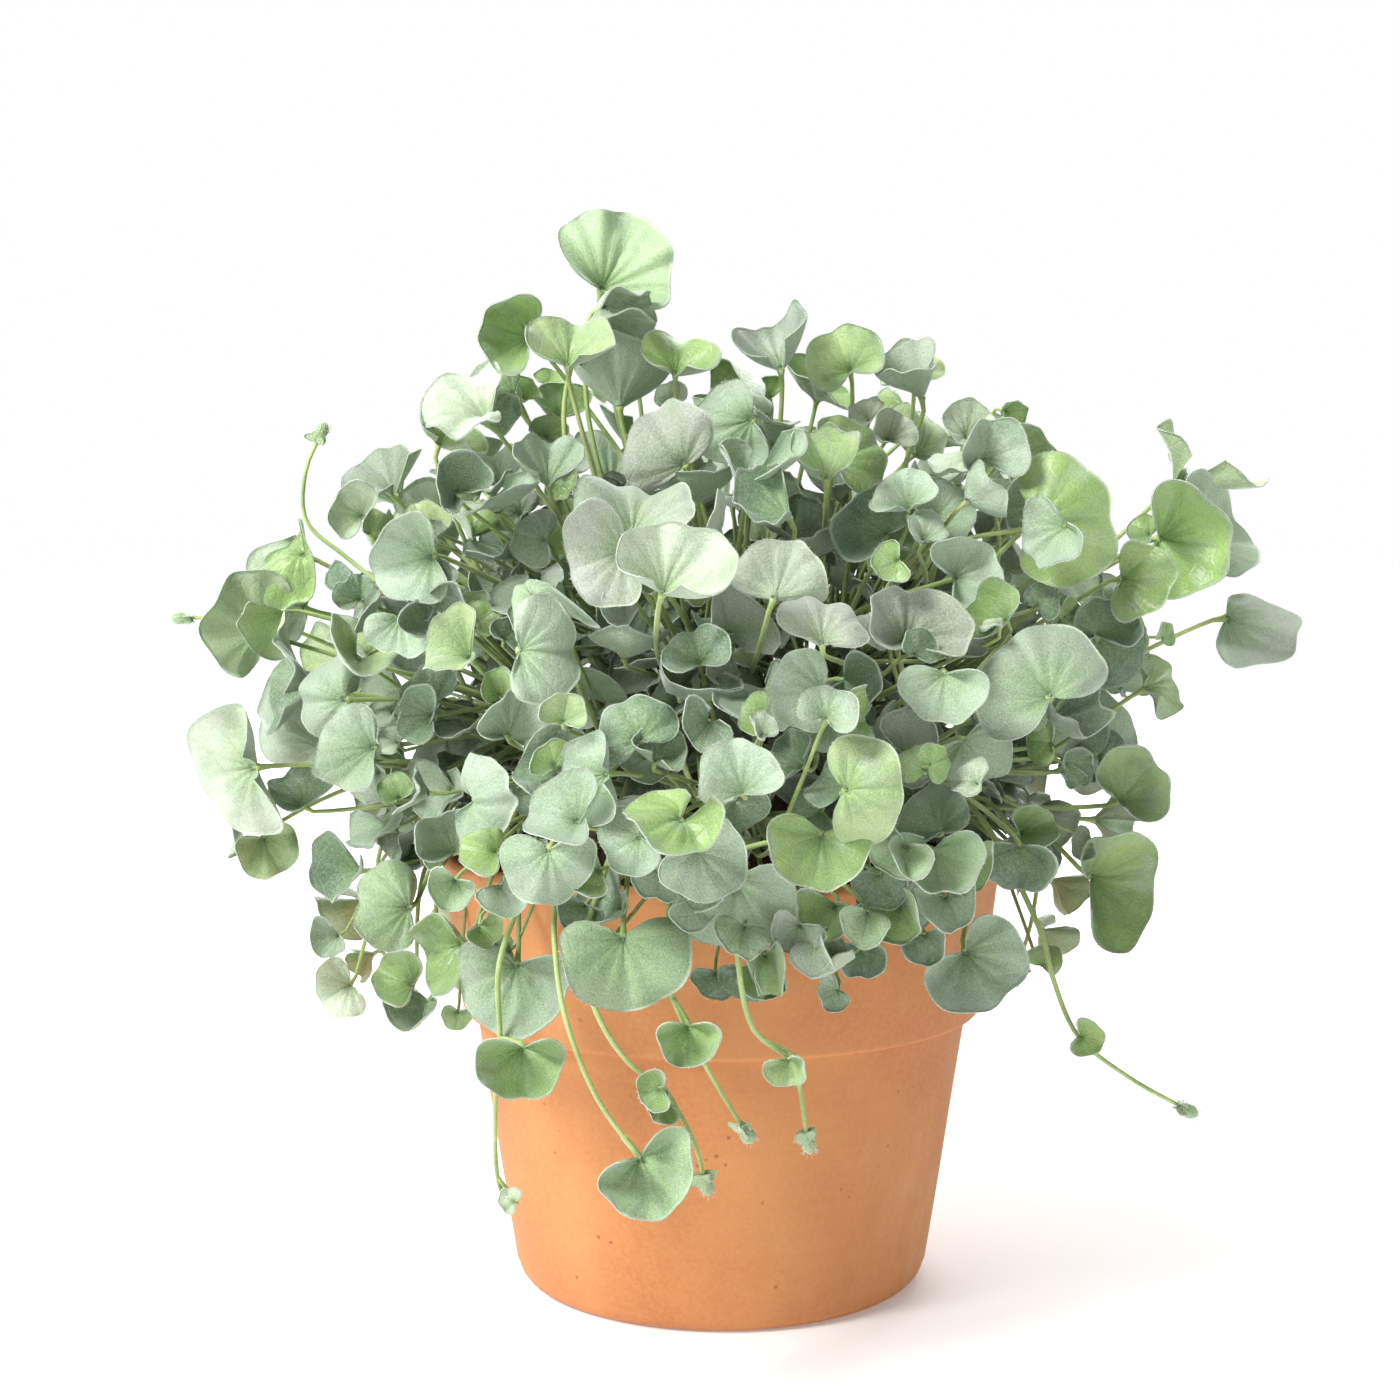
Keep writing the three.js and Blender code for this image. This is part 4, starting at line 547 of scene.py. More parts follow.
def measured_leaf(row, number, depth):
    """A leaf from a table row. The midrib's length in the view tells how far it leans."""
    x, y, tip_x, tip_y, width, roll, _, fold, cup, tone = row
    joint = sight_point(x, y, depth)
    to_viewer = unit(EYE - joint)
    in_view = sight_point(tip_x, tip_y, depth) - joint
    in_view -= to_viewer * in_view.dot(to_viewer)
    share = min(max(np.linalg.norm(in_view) / (MIDRIB_SHARE * width), 0.2), 1)
    lean = math.sqrt(1 - share * share)
    flat = unit(in_view) * share
    outward = unit(vec(joint[0], joint[1], joint[2] - CROWN_HEIGHT)) + UP
    leaf = {"width": width, "fold": fold, "cup": cup, "joint": joint, "sight": to_viewer, "tone": tone}
    choices = [with_axes(leaf, unit(flat + to_viewer * l), to_viewer, roll) for l in (lean, -lean)]
    best = choices[0] if choices[0]["up"].dot(outward) >= choices[1]["up"].dot(outward) else choices[1]
    lobes = [reach for reach, rows in LOBE_REACH if number in rows]
    return with_ripple({**best, "lobes": lobes[0] if lobes else None}, Draws(SEED + 7919 * number))


def spread_leaves():
    """The leaves on the sides and back, with the same draws for each as in the CAD."""
    random = Draws(SEED)
    tone_of = Draws(SEED + 17)
    leaves = []
    for i in range(SPREAD_POINTS):
        height = SPREAD_LOWEST + (0.98 - SPREAD_LOWEST) * ((i + 0.5) / SPREAD_POINTS)
        turn = i * GOLDEN_TURN + 0.3 * random()
        level = math.sqrt(1 - height * height)
        outward = vec(level * math.cos(turn), level * math.sin(turn), height)
        layer = 0.74 + 0.26 * random()
        inset = SPREAD_TOP_INSET if height > 0 else SPREAD_FOOT_INSET
        joint = vec(
            outward[0] * (MOUND["half_width"] - 16) * layer,
            outward[1] * (MOUND["half_depth"] + 2) * layer,
            MOUND["centre"] + outward[2] * (MOUND["half_height"] - inset) * layer,
        )
        width = 19 + 9 * random()
        droop = random()
        sway = random() - 0.5
        roll = 50 * (random() - 0.5)
        fold = 44 * random() - 12
        cup = 0.4 * random() - 0.05
        facing = unit(outward + 0.5 * UP)
        tangent = unit(vec(-outward[1], outward[0], 0))
        midrib = unit(outward + tangent * 2.2 * sway + UP * (0.9 - 2.2 * droop))
        tone = SPREAD_TONES[int(len(SPREAD_TONES) * tone_of())]
        leaf = {"width": width, "fold": fold, "cup": cup, "joint": joint, "sight": outward, "tone": tone}
        leaves.append(with_ripple(with_axes(leaf, midrib, facing, roll), Draws(SEED + 104729 + i)))
    return leaves


# Stems

def soil_height(radius):
    share = np.minimum(radius / (RIM_RADIUS - POT_WALL), 1)
    return SOIL_EDGE_HEIGHT + (SOIL_CROWN_HEIGHT - SOIL_EDGE_HEIGHT) * (1 - share ** 2.2)


def stem_line(number):
    """A stem's direction, tip and line: straight in its hole, then bent over to its tip."""
    lowest = math.sin(math.radians(LOWEST_STEM))
    height = lowest + (0.97 - lowest) * ((number + 0.5) / STEM_COUNT)
    level = math.sqrt(1 - height * height)
    turn = number * GOLDEN_TURN
    direction = vec(level * math.cos(turn), level * math.sin(turn), height)
    tip = CROWN_HEIGHT * UP + direction * STEM_REACH
    root = vec(direction[0], direction[1], 0) * ROOT_CIRCLE * math.sqrt(level)
    ground = soil_height(math.hypot(root[0], root[1]))
    foot = vec(root[0], root[1], ground - ROOT_DEPTH)
    collar = vec(root[0], root[1], ground + 3)
    lift = max(8, 0.5 * (tip[2] - collar[2]))
    inward = tip - 8 * unit(vec(tip[0], tip[1], 0)) + 3 * UP
    bend = [bezier(collar, collar + lift * UP, inward, tip, t) for t in np.linspace(0.1, 1, 10)]
    return tip, np.array([foot, collar] + bend)


STEMS = [stem_line(i) for i in range(STEM_COUNT)]


def neck_point(leaf):
    return leaf["joint"] - NECK_LENGTH * leaf["up"] - 0.3 * NECK_LENGTH * leaf["midrib"]


def stalk_end(leaf):
    return leaf["joint"] - 0.08 * leaf["width"] * leaf["up"]


# Reading the CAD foliage: where each leaf was placed, and the way its stalk takes

class Foliage:
    """The corners of the CAD's stems and runners, and which are joined by an edge."""

    def __init__(self, nodes):
        self.points = []
        self.node = []
        self.joined = []
        for name in sorted(n for n in nodes if n.startswith(("leafy_stem", "runner"))):
            mesh = nodes[name].data
            corners = np.zeros(len(mesh.vertices) * 3)
            mesh.vertices.foreach_get("co", corners)
            corners = corners.reshape(-1, 3) / MM
            place = {}
            index = []
            for corner in corners:
                key = tuple(np.round(corner, 3))
                if key not in place:
                    place[key] = len(self.points)
                    self.points.append(corner)
                    self.node.append(name)
                    self.joined.append(set())
                index.append(place[key])
            for polygon in mesh.polygons:
                ring = [index[v] for v in polygon.vertices]
                for a in ring:
                    self.joined[a].update(b for b in ring if b != a)
        self.points = np.array(self.points)
        self.tree = KDTree(len(self.points))
        for i, point in enumerate(self.points):
            self.tree.insert(point, i)
        self.tree.balance()

    def find(self, point):
        _, index, distance = self.tree.find(point)
        return index, distance

    def stalk_of(self, leaf):
        """Middles of the stalk's rings from the blade back to the knot of its stem."""
        _, top, bottom = coarse_rim(leaf)
        ring_of = [(-0.87, 0.5), (0, -1), (0.87, 0.5)]
        corners = [bottom[0] + CAD_STALK_TIP * (a * leaf["across"] + b * leaf["midrib"]) for a, b in ring_of]
        ring = [self.find(point)[0] for point in corners]
        seen = set(ring) | {self.find(point)[0] for point in np.concatenate([top, bottom[1:]])}
        middles = []
        for _ in range(8):
            further = set().union(*(self.joined[i] for i in ring)) - seen
            if len(further) != 3:
                break
            ring = sorted(further)
            seen |= further
            middle = self.points[ring].mean(axis=0)
            middles.append(middle)
            if np.linalg.norm(self.points[ring] - middle, axis=1).mean() > 1.45:
                break
        return middles


foliage = Foliage(frame["nodes"])


def placed_leaf(leaf):
    """The leaf where the CAD has it, slid along its line of sight, or None."""
    for slide in SLIDES:
        moved = {**leaf, "joint": leaf["joint"] + leaf["sight"] * slide}
        _, top, _ = coarse_rim(moved)
        index, distance = foliage.find(top[0])
        if distance < 0.03 and foliage.find(top[1])[1] < 0.03:
            moved["node"] = foliage.node[index]
            moved["line"] = stalk_line(moved)
            return moved
    return None


def stalk_line(leaf):
    middles = foliage.stalk_of(leaf)
    if leaf["node"].startswith("leafy_stem") and middles:
        tip = STEMS[int(leaf["node"][-2:]) - 1][0]
        controls = [tip] + middles[::-1]
    else:
        controls = middles[::-1] or [neck_point(leaf)]
    return controls + [stalk_end(leaf)]


# Building meshes

class Skin:
    """Points, faces and values at each point of one piece, as it is put together."""

    def __init__(self):
        self.count = 0
        self.points, self.tones, self.places, self.marks = [], [], [], []
        self.faces = {4: [], 3: []}
        self.slots = {4: [], 3: []}

    def add(self, points, quads=None, triangles=None, tone=(1, 1, 1), place=(0, 0), mark=(0, 0, 0), slot=0):
        """Tone and mark are three values and place is two, for all the points or for each."""
        size = len(points)
        self.points.append(np.asarray(points, float))
        self.tones.append(np.broadcast_to(tone, (size, 3)))
        self.places.append(np.broadcast_to(place, (size, 2)))
        self.marks.append(np.broadcast_to(mark, (size, 3)))
        for corners, faces in ((4, quads), (3, triangles)):
            if faces is not None and len(faces):
                self.faces[corners].append(np.asarray(faces, int) + self.count)
                self.slots[corners].append(np.full(len(faces), slot))
        self.count += size

    def build(self, name, materials):
        mesh = bpy.data.meshes.new(name)
        corners = np.concatenate([faces.ravel() for faces in self.faces[4] + self.faces[3]])
        sizes = np.concatenate([np.full(len(f), size) for size, faces in self.faces.items() for f in faces])
        mesh.vertices.add(self.count)
        mesh.vertices.foreach_set("co", np.concatenate(self.points).ravel() * MM)
        mesh.loops.add(len(corners))
        mesh.loops.foreach_set("vertex_index", corners)
        mesh.polygons.add(len(sizes))
        mesh.polygons.foreach_set("loop_start", np.cumsum(sizes) - sizes)
        mesh.polygons.foreach_set("material_index", np.concatenate(self.slots[4] + self.slots[3]))
        mesh.polygons.foreach_set("use_smooth", np.full(len(sizes), True))
        mesh.update(calc_edges=True)
        mesh.validate()
        for label, values in (("tone", self.tones), ("mark", self.marks)):
            layer = mesh.color_attributes.new(label, "FLOAT_COLOR", "POINT")
            colours = np.ones((self.count, 4))
            colours[:, :3] = np.concatenate(values)
            layer.data.foreach_set("color", colours.ravel())
        layer = mesh.uv_layers.new(name="place")
        loop_points = np.zeros(len(mesh.loops), int)
        mesh.loops.foreach_get("vertex_index", loop_points)
        layer.data.foreach_set("uv", np.concatenate(self.places)[loop_points].ravel())
        for material in materials:
            mesh.materials.append(material)
        piece = bpy.data.objects.new(name, mesh)
        bpy.context.scene.collection.objects.link(piece)
        return piece


def grid_quads(rows, columns, first=0, closed=False, flip=False):
    """Quads between rows of points; closed joins the last column to the first."""
    wide = columns if closed else columns - 1
    i, j = np.meshgrid(np.arange(rows - 1), np.arange(wide), indexing="ij")
    k = (j + 1) % columns
    row, below = i * columns, (i + 1) * columns
    quads = np.stack([row + j, row + k, below + k, below + j], axis=-1).reshape(-1, 4) + first
    return quads[:, ::-1] if flip else quads


BLADE, STALK, HAIR = 0, 1, 2


def add_tube(skin, points, radii, sides, mark, tone=(1, 1, 1), slot=STALK):
    """A round tube along points, closed at both ends."""
    points = np.asarray(points, float)
    radii = np.broadcast_to(radii, (len(points),))
    tangents = np.gradient(points, axis=0)
    tangents /= np.linalg.norm(tangents, axis=1)[:, None]
    side = np.cross(tangents[0], UP if abs(tangents[0][2]) < 0.9 else vec(1, 0, 0))
    rings = []
    turns = np.linspace(0, 2 * np.pi, sides, endpoint=False)
    for point, tangent, radius in zip(points, tangents, radii):
        side = unit(side - tangent * side.dot(tangent))
        other = np.cross(tangent, side)
        rings.append(point + radius * (np.cos(turns)[:, None] * side + np.sin(turns)[:, None] * other))
    verts = np.concatenate(rings + [points[:1], points[-1:]])
    start = len(points) * sides
    fans = [(start, (j + 1) % sides, j) for j in range(sides)]
    last = (len(points) - 1) * sides
    fans += [(start + 1, last + j, last + (j + 1) % sides) for j in range(sides)]
    along = np.concatenate([np.repeat(np.linspace(0, 1, len(points)), sides), [0, 1]])
    place = np.stack([np.tile(np.arange(sides) / sides, len(points) + 1)[:len(along)], along], axis=1)
    skin.add(verts, grid_quads(len(points), sides, closed=True), fans, tone, place, mark, slot)


def shape_of(leaf, random):
    """What a blade has beyond its plain form: how it curls, sags, twists and waves."""
    width = leaf["width"]
    return {
        "funnel": 0.085 * width,
        "lobes": leaf.get("lift", -0.09 + 0.34 * random()) * width,
        "sag": leaf.get("sag", -0.14 + 0.5 * random()) * width,
        "twist": leaf.get("twist", 0.4 * (random() - 0.5)) * width,
        "curl": leaf.get("curl", 0.34 * (random() - 0.4)) * width,
        "ruffle": leaf.get("ruffle", 0.014 + 0.04 * random()) * width,
        "notch": leaf.get("notch", 0.02 + 0.1 * random()),
        "phases": [6.28 * random() for _ in range(5)],
    }


def blade_grid(leaf, shape, shares, degrees):
    """The middle surface of a blade in full detail, as rows from the joint to the rim."""
    width = leaf["width"]
    a, b, c, d, e = shape["phases"]
    share, angle = np.meshgrid(shares, degrees, indexing="ij")
    turn = np.radians(angle)
    uneven = 0.045 * np.sin(2 * turn + a) + 0.045 * np.sin(3 * turn + b) + 0.022 * np.sin(7 * turn + c)
    notch = shape["notch"] * np.exp(-(angle / 15) ** 2)
    reach = share * (1 + share ** 2 * (uneven - notch))
    from_joint = share * edge_distance(angle, width) / width
    forward = np.maximum(0, np.cos(turn)) * share
    lobe = np.clip((np.abs(angle) - 60) / 65, 0, 1) ** 2
    veins = np.cos(np.radians(angle / VEIN_STEP * 360))
    waves = np.sin(5 * turn + d) * (0.6 + 0.4 * np.sin(2 * turn + a)) + 0.5 * np.sin(9 * turn + e)
    relief = (
        -shape["funnel"] * np.exp(-(from_joint / 0.1) ** 2)
        + shape["lobes"] * lobe * share ** 1.5
        - shape["sag"] * forward ** 2
        + shape["twist"] * share ** 2 * np.sin(turn + 0.5 * np.sin(b))
        + shape["curl"] * np.maximum(0, share - 0.55) ** 2 * 4
        + shape["ruffle"] * share ** 5 * waves
        - 0.008 * width * veins * share * (1.15 - share) * 3
        - 0.014 * width * np.exp(-(angle / 10) ** 2) * share * (1.1 - share) * 4
    )
    return blade_points({**leaf, "relief": relief}, angle, reach), share, angle


def add_blade(skin, leaf, random, fine=True):
    """A thin blade with puckers between the veins, a ruffled rim and hairs along it.

    A blade that isn't fine has fewer faces and hairs, for leaves behind the others.
    """
    width = leaf["width"]
    columns = 49 if width >= 17 else (41 if width >= 11 else 29)
    shares = [0.05, 0.12, 0.22, 0.38, 0.56, 0.72, 0.85, 0.94, 1.0]
    if not fine:
        columns = 23
        shares = [0.08, 0.2, 0.42, 0.68, 0.88, 1.0]
    degrees = np.linspace(-EDGE_ANGLE + 1.5, EDGE_ANGLE - 1.5, columns)
    shape = shape_of(leaf, random)
    grid, share, angle = blade_grid(leaf, shape, shares, degrees)
    across = np.gradient(grid, axis=1)
    outward = np.gradient(grid, axis=0)
    normals = np.cross(across, outward)
    normals /= np.maximum(np.linalg.norm(normals, axis=2), 1e-9)[..., None]
    normals *= np.sign((normals * leaf["up"]).sum(axis=2).mean())
    thin = BLADE_THICKNESS / 2 * np.where(share > 0.97, 0.6, 1)[..., None]
    hub = leaf["joint"] - leaf["up"] * shape["funnel"]
    hub_lift = leaf["up"] * BLADE_THICKNESS / 2
    top = np.concatenate([(grid + normals * thin).reshape(-1, 3), [hub + hub_lift]])
    bottom = np.concatenate([(grid - normals * thin).reshape(-1, 3), [hub - hub_lift]])
    rows = len(shares)
    size = rows * columns + 1
    fan = [(size - 1, j + 1, j) for j in range(columns - 1)]
    under_fan = [(2 * size - 1, size + j, size + j + 1) for j in range(columns - 1)]
    rim = (rows - 1) * columns
    walls = [(rim + j, rim + j + 1, size + rim + j + 1, size + rim + j) for j in range(columns - 1)]
    for i in range(rows - 1):
        a, b = i * columns, (i + 1) * columns
        walls.append((a, b, size + b, size + a))
        c, d = a + columns - 1, b + columns - 1
        walls.append((d, c, size + c, size + d))
    walls.append((size - 1, 0, size, 2 * size - 1))
    walls.append((columns - 1, size - 1, 2 * size - 1, size + columns - 1))
    quads = np.concatenate([
        grid_quads(rows, columns, flip=True),
        grid_quads(rows, columns, first=size),
        np.array(walls),
    ])
    place = np.stack([(angle + EDGE_ANGLE) / (2 * EDGE_ANGLE), share], axis=-1).reshape(-1, 2)
    place = np.concatenate([place, [[0.5, 0.0]]])
    seed = random()
    gloss = 1.0 if leaf["tone"] in ("fresh", "fresh_pale") else 0.0
    mark = np.concatenate([np.tile([1, seed, gloss], (size, 1)), np.tile([0, seed, gloss], (size, 1))])
    # Painted light: blades higher on the mound get a lighter tone, which stands in for the back light shining
    # through them.
    painted_top_light = 1.06 + 0.18 * min(1, max(0, (leaf["joint"][2] - 150) / 70))
    tone = np.array(TONES[leaf["tone"]]) * (painted_top_light + 0.4 * random()) * np.array([1.03, 0.98, 0.96])
    both = np.concatenate([top, bottom])
    skin.add(both, quads, fan + under_fan, tone, np.concatenate([place, place]), mark, BLADE)
    add_rim_hairs(skin, grid, normals, random, int(width * (3.2 if fine else 1.2)))


def add_hairs(skin, hairs, half_width):
    """Short pale spikes, each given by its root, two ways across it, and its tip."""
    points, triangles = [], []
    for root, edge, normal, tip in hairs:
        base = len(points)
        points += [root + half_width * edge, root - half_width * edge, root + 0.06 * normal, tip]
        triangles += [(base, base + 1, base + 3), (base + 1, base + 2, base + 3), (base + 2, base, base + 3)]
    skin.add(points, None, triangles, slot=HAIR)


def add_rim_hairs(skin, grid, normals, random, count):
    """Hairs that stand out from the blade's edge."""
    rim, inner = grid[-1], grid[-2]
    span = len(rim) - 1
    hairs = []
    for _ in range(count):
        where = random() * span
        j = min(int(where), span - 1)
        part = where - j
        root = rim[j] * (1 - part) + rim[j + 1] * part
        outward = unit(root - inner[j])
        edge = unit(rim[j + 1] - rim[j])
        normal = normals[-1][j]
        lean = outward + (random() - 0.5) * 1.1 * edge + (random() - 0.5) * 0.9 * normal
        hairs.append((root, edge, normal, root + unit(lean) * (0.35 + 0.5 * random())))
    add_hairs(skin, hairs, 0.045)


def add_stalk(skin, leaf, controls, random):
    """A round stalk, thicker at its foot, that flares a little into the blade."""
    rough = curve_through(controls, 12)
    count = max(6, int(curve_length(rough) / 3.2))
    points = curve_through(controls, count)
    near_end = points[-1] + (points[-2] - points[-1]) * 0.35
    points = np.concatenate([points[:-1], [near_end], points[-1:]])
    count += 1
    scale = min(1, 0.55 + leaf["width"] / 45)
    radii = np.linspace(STALK_RADIUS, STALK_TIP_RADIUS, count) * scale
    to_end = np.linalg.norm(points - points[-1], axis=1)
    radii *= 1 + 0.045 * leaf["width"] * np.exp(-to_end / (0.045 * leaf["width"]))
    add_tube(skin, points, radii, 7, (0.5 + 0.5 * random(), random(), 0))


def add_bud(skin, end, onward, random):
    """A closed bud at the end of a runner: a slim hairy knob between two small leaves."""
    points = [end + onward * BUD_LENGTH * share for share in (-0.05, 0.15, 0.4, 0.65, 0.85, 1.0)]
    radii = [0.55, 1.0, 1.45, 1.5, 1.05, 0.3]
    add_tube(skin, points, radii, 9, (1, random(), 0), TONES["fresh_pale"], BLADE)
    side = unit(np.cross(onward, UP if abs(onward[2]) < 0.9 else vec(0, 1, 0)))
    for way in (-1, 1):
        facing = unit(side * way + 0.1 * UP)
        leaf = {"width": 4.2, "fold": 62, "cup": 0.5, "joint": end + side * way * 0.9, "tone": "fresh_pale"}
        leaf = with_ripple(with_axes(leaf, unit(onward - facing * 0.12), -facing, 0), random)
        add_blade(skin, leaf, random, fine=False)
    hairs = []
    for _ in range(BUD_HAIRS):
        turn = 2 * math.pi * random()
        out = unit(side * math.cos(turn) + np.cross(onward, side) * math.sin(turn))
        root = end + onward * BUD_LENGTH * (1.1 * random() - 0.1) + out * 1.2
        tip = root + unit(out + onward * random()) * (0.6 + 0.6 * random())
        hairs.append((root, onward, np.cross(out, onward), tip))
    add_hairs(skin, hairs, 0.05)


# Runners

def runner_controls(route, node):
    """Control points of a runner, with the root and first bend that the CAD settled on."""
    own = foliage.points[[i for i, name in enumerate(foliage.node) if name == node]]
    best = None
    for lift in FIRST_LIFTS:
        for turn in ROOT_TURNS:
            first = route[0] + UP * lift
            angle = math.atan2(first[1], first[0]) + math.radians(turn)
            root = vec(math.cos(angle), math.sin(angle), 0) * RUNNER_ROOT_CIRCLE
            collar = root + UP * (soil_height(RUNNER_ROOT_CIRCLE) + 3)
            controls = [collar, first] + list(route[1:])
            near_root = curve_through(controls, 25)[:9]
            gaps = np.linalg.norm(near_root[:, None] - own[None], axis=2)
            miss = gaps.min(axis=1).sum()
            if best is None or miss < best[0]:
                best = (miss, controls)
    return best[1]


def add_runner(skin, controls, leaves, has_bud, random):
    count = max(12, int(curve_length(curve_through(controls, 40)) / 2.6))
    points = curve_through(controls, count)
    foot = vec(controls[0][0], controls[0][1], controls[0][2] - 8)
    line = np.concatenate([[foot], points])
    add_tube(skin, line, np.linspace(RUNNER_RADIUS, RUNNER_TIP_RADIUS, len(line)), 8, (0.8, random(), 0))
    spaced = curve_through(controls, 61)
    for leaf in leaves:
        leaf = {"lift": 0.24, "curl": 0.12 + 0.1 * random(), "ruffle": 0.05, "sag": 0.1, **leaf}
        off = np.abs(np.linalg.norm(spaced - leaf["joint"], axis=1) - RUNNER_STALK)
        start = spaced[off.argmin()]
        add_blade(skin, leaf, random)
        add_stalk(skin, leaf, [start, neck_point(leaf), stalk_end(leaf)], random)
    if has_bud:
        add_bud(skin, points[-1], unit(points[-1] - points[-3]), random)


def front_runner(number):
    route, rows, has_bud = FRONT_RUNNERS[number]
    earlier = sum(len(r[1]) for r in FRONT_RUNNERS[:number])
    leaves = [measured_leaf(row, 1000 + earlier + k + 1, row[6]) for k, row in enumerate(rows)]
    return [sight_point(*point) for point in route], leaves, has_bud


def back_runner(number):
    compass, drop = BACK_RUNNERS[number]
    turn = math.radians(compass)
    outward = vec(math.cos(turn), math.sin(turn), 0)
    stations = [(62, 112), (76, 108), (83, 96), (82, POT_HEIGHT - 0.6 * drop), (78, POT_HEIGHT - drop)]
    route = [outward * reach + UP * height for reach, height in stations]
    controls = runner_controls(route, f"runner_{len(FRONT_RUNNERS) + number + 1:02d}")
    spaced = curve_through(controls, 61)
    random = Draws(SEED + 31 * number)
    leaves = []
    for k, share in enumerate((0.72, 0.88)):
        joint = spaced[round(60 * share)] + outward * (RUNNER_STALK - 1) + UP
        midrib = unit(vec(-outward[1], outward[0], 0) * (random() - 0.5) - UP)
        leaf = {"width": 17 - 5 * k, "fold": 15, "cup": 0.1, "joint": joint, "tone": "fresh"}
        leaves.append(with_ripple(with_axes(leaf, midrib, outward + 0.4 * UP, 0), random))
    return route, leaves, True


# Growing the plant

details = Draws(SEED + 5)
leaves = []
for index, row in enumerate(FRONT_LEAVES):
    leaf = placed_leaf(measured_leaf(row, index, row[6] * mound_depth(row[0], row[1])))
    if leaf:
        leaves.append({**leaf, **BLADE_CHANGES.get(index, {})})
for leaf in spread_leaves():
    leaf = placed_leaf(leaf)
    if leaf:
        leaves.append(leaf)

skins = {}
for number, (tip, line) in enumerate(STEMS):
    skin = skins.setdefault(f"leafy_stem_{number + 1:02d}", Skin())
    add_tube(skin, line, np.linspace(STEM_RADIUS, STEM_TIP_RADIUS, len(line)), 9, (0.3, 0.5, 1))
    knot = [tip + (tip - line[-2]) * s for s in (-1.2, -0.5, 0, 0.35, 0.6)]
    add_tube(skin, knot, [1.2, 1.7, 1.9, 1.4, 0.5], 9, (0.4, 0.5, 1))
for leaf in leaves:
    add_blade(skins[leaf["node"]], leaf, details)
    add_stalk(skins[leaf["node"]], leaf, leaf["line"], details)

for number in range(len(FRONT_RUNNERS) + len(BACK_RUNNERS)):
    node = f"runner_{number + 1:02d}"
    is_front = number < len(FRONT_RUNNERS)
    route, own, has_bud = front_runner(number) if is_front else back_runner(number - len(FRONT_RUNNERS))
    skin = skins.setdefault(node, Skin())
    add_runner(skin, runner_controls(route, node), own, has_bud, details)
    leaves += [{**leaf, "node": node} for leaf in own]


# Small leaves between the large ones

def fan_of(leaf):
    middle, _, _ = coarse_rim(leaf)
    return middle, [(0, i, i + 1) for i in range(1, len(middle) - 1)]


class Room:
    """Keeps the blades from passing through each other."""

    def __init__(self, placed):
        points, faces = [], []
        for leaf in placed:
            middle, fan = fan_of(leaf)
            faces += [tuple(k + len(points) for k in face) for face in fan]
            points += list(middle)
        self.large = BVHTree.FromPolygons(points, faces)
        self.small = []

    def is_free(self, leaf):
        middle, fan = fan_of(leaf)
        tree = BVHTree.FromPolygons(list(middle), fan)
        if tree.overlap(self.large):
            return False
        near = [t for centre, t in self.small if np.linalg.norm(centre - leaf["joint"]) < 26]
        return not any(tree.overlap(t) for t in near)

    def take(self, leaf):
        middle, fan = fan_of(leaf)
        self.small.append((leaf["joint"], BVHTree.FromPolygons(list(middle), fan)))


def stalk_from_nearest_stem(leaf):
    """A stalk for an added leaf, from the stem whose line passes best below it."""
    best = None
    for _, line in STEMS:
        for point in line[4:]:
            reach = np.linalg.norm(point - leaf["joint"])
            cost = abs(reach - 34) + 0.4 * max(0, point[2] - leaf["joint"][2] - 10)
            if best is None or cost < best[0]:
                best = (cost, point)
    start, end = best[1], neck_point(leaf)
    chord = end - start
    climb = max(0, 112 - leaf["joint"][2]) * 0.4
    out = unit(vec(end[0], end[1], 0))
    p1 = start + chord * 0.3 + UP * (0.12 * np.linalg.norm(chord) + climb) + out * 0.3 * climb
    p2 = end - chord * 0.3 + out * 0.2 * climb
    line = [bezier(start, p1, p2, end, t) for t in (0, 0.25, 0.5, 0.75, 1)]
    return line + [stalk_end(leaf)]


def is_outside_pot(joint):
    radius = math.hypot(joint[0], joint[1])
    if radius < RIM_RADIUS + 6:
        return joint[2] > soil_height(min(radius, RIM_RADIUS)) + 9
    return joint[2] > 45


def inner_leaf(random):
    height = -0.42 + 1.38 * random()
    turn = 2 * math.pi * random()
    level = math.sqrt(1 - min(0.99, height * height))
    outward = vec(level * math.cos(turn), level * math.sin(turn), height)
    layer = 0.36 + 0.5 * random()
    joint = vec(0, 0, MOUND["centre"]) + outward * layer * vec(*INNER_SIZE)
    facing = unit(outward + 0.5 * UP + 0.5 * (vec(random(), random(), random()) - 0.5))
    sway = random() - 0.5
    droop = random()
    tangent = unit(vec(-outward[1], outward[0], 0))
    midrib = unit(outward + tangent * 2.4 * sway + UP * (0.9 - 2.0 * droop))
    leaf = {
        "width": 9 + 11 * random(),
        "fold": 32 * random() - 4,
        "cup": 0.35 * random() - 0.05,
        "joint": joint,
        "sight": outward,
        "tone": INNER_TONES[int(len(INNER_TONES) * random())],
    }
    return with_ripple(with_axes(leaf, midrib, facing, 70 * (random() - 0.5)), random)


def skirt_leaf(random):
    """A small leaf that hangs over the pot's rim, at the sides and the back."""
    turn = math.radians(-35 + 250 * random())
    outward = vec(math.cos(turn), math.sin(turn), 0)
    reach = RIM_RADIUS - 24 + 34 * random()
    height = POT_HEIGHT + 2 + 24 * random() - 0.5 * max(0, reach - RIM_RADIUS)
    sway = random() - 0.5
    tangent = vec(-outward[1], outward[0], 0)
    facing = unit(outward + (0.3 + 0.6 * random()) * UP + 0.6 * sway * tangent)
    midrib = unit(0.5 * outward + 1.6 * sway * tangent - UP * random())
    leaf = {
        "width": 11 + 10 * random(),
        "fold": 30 * random(),
        "cup": 0.3 * random(),
        "joint": outward * reach + UP * height,
        "sight": outward,
        "tone": SKIRT_TONES[int(len(SKIRT_TONES) * random())],
    }
    return with_ripple(with_axes(leaf, midrib, facing, 50 * (random() - 0.5)), random)


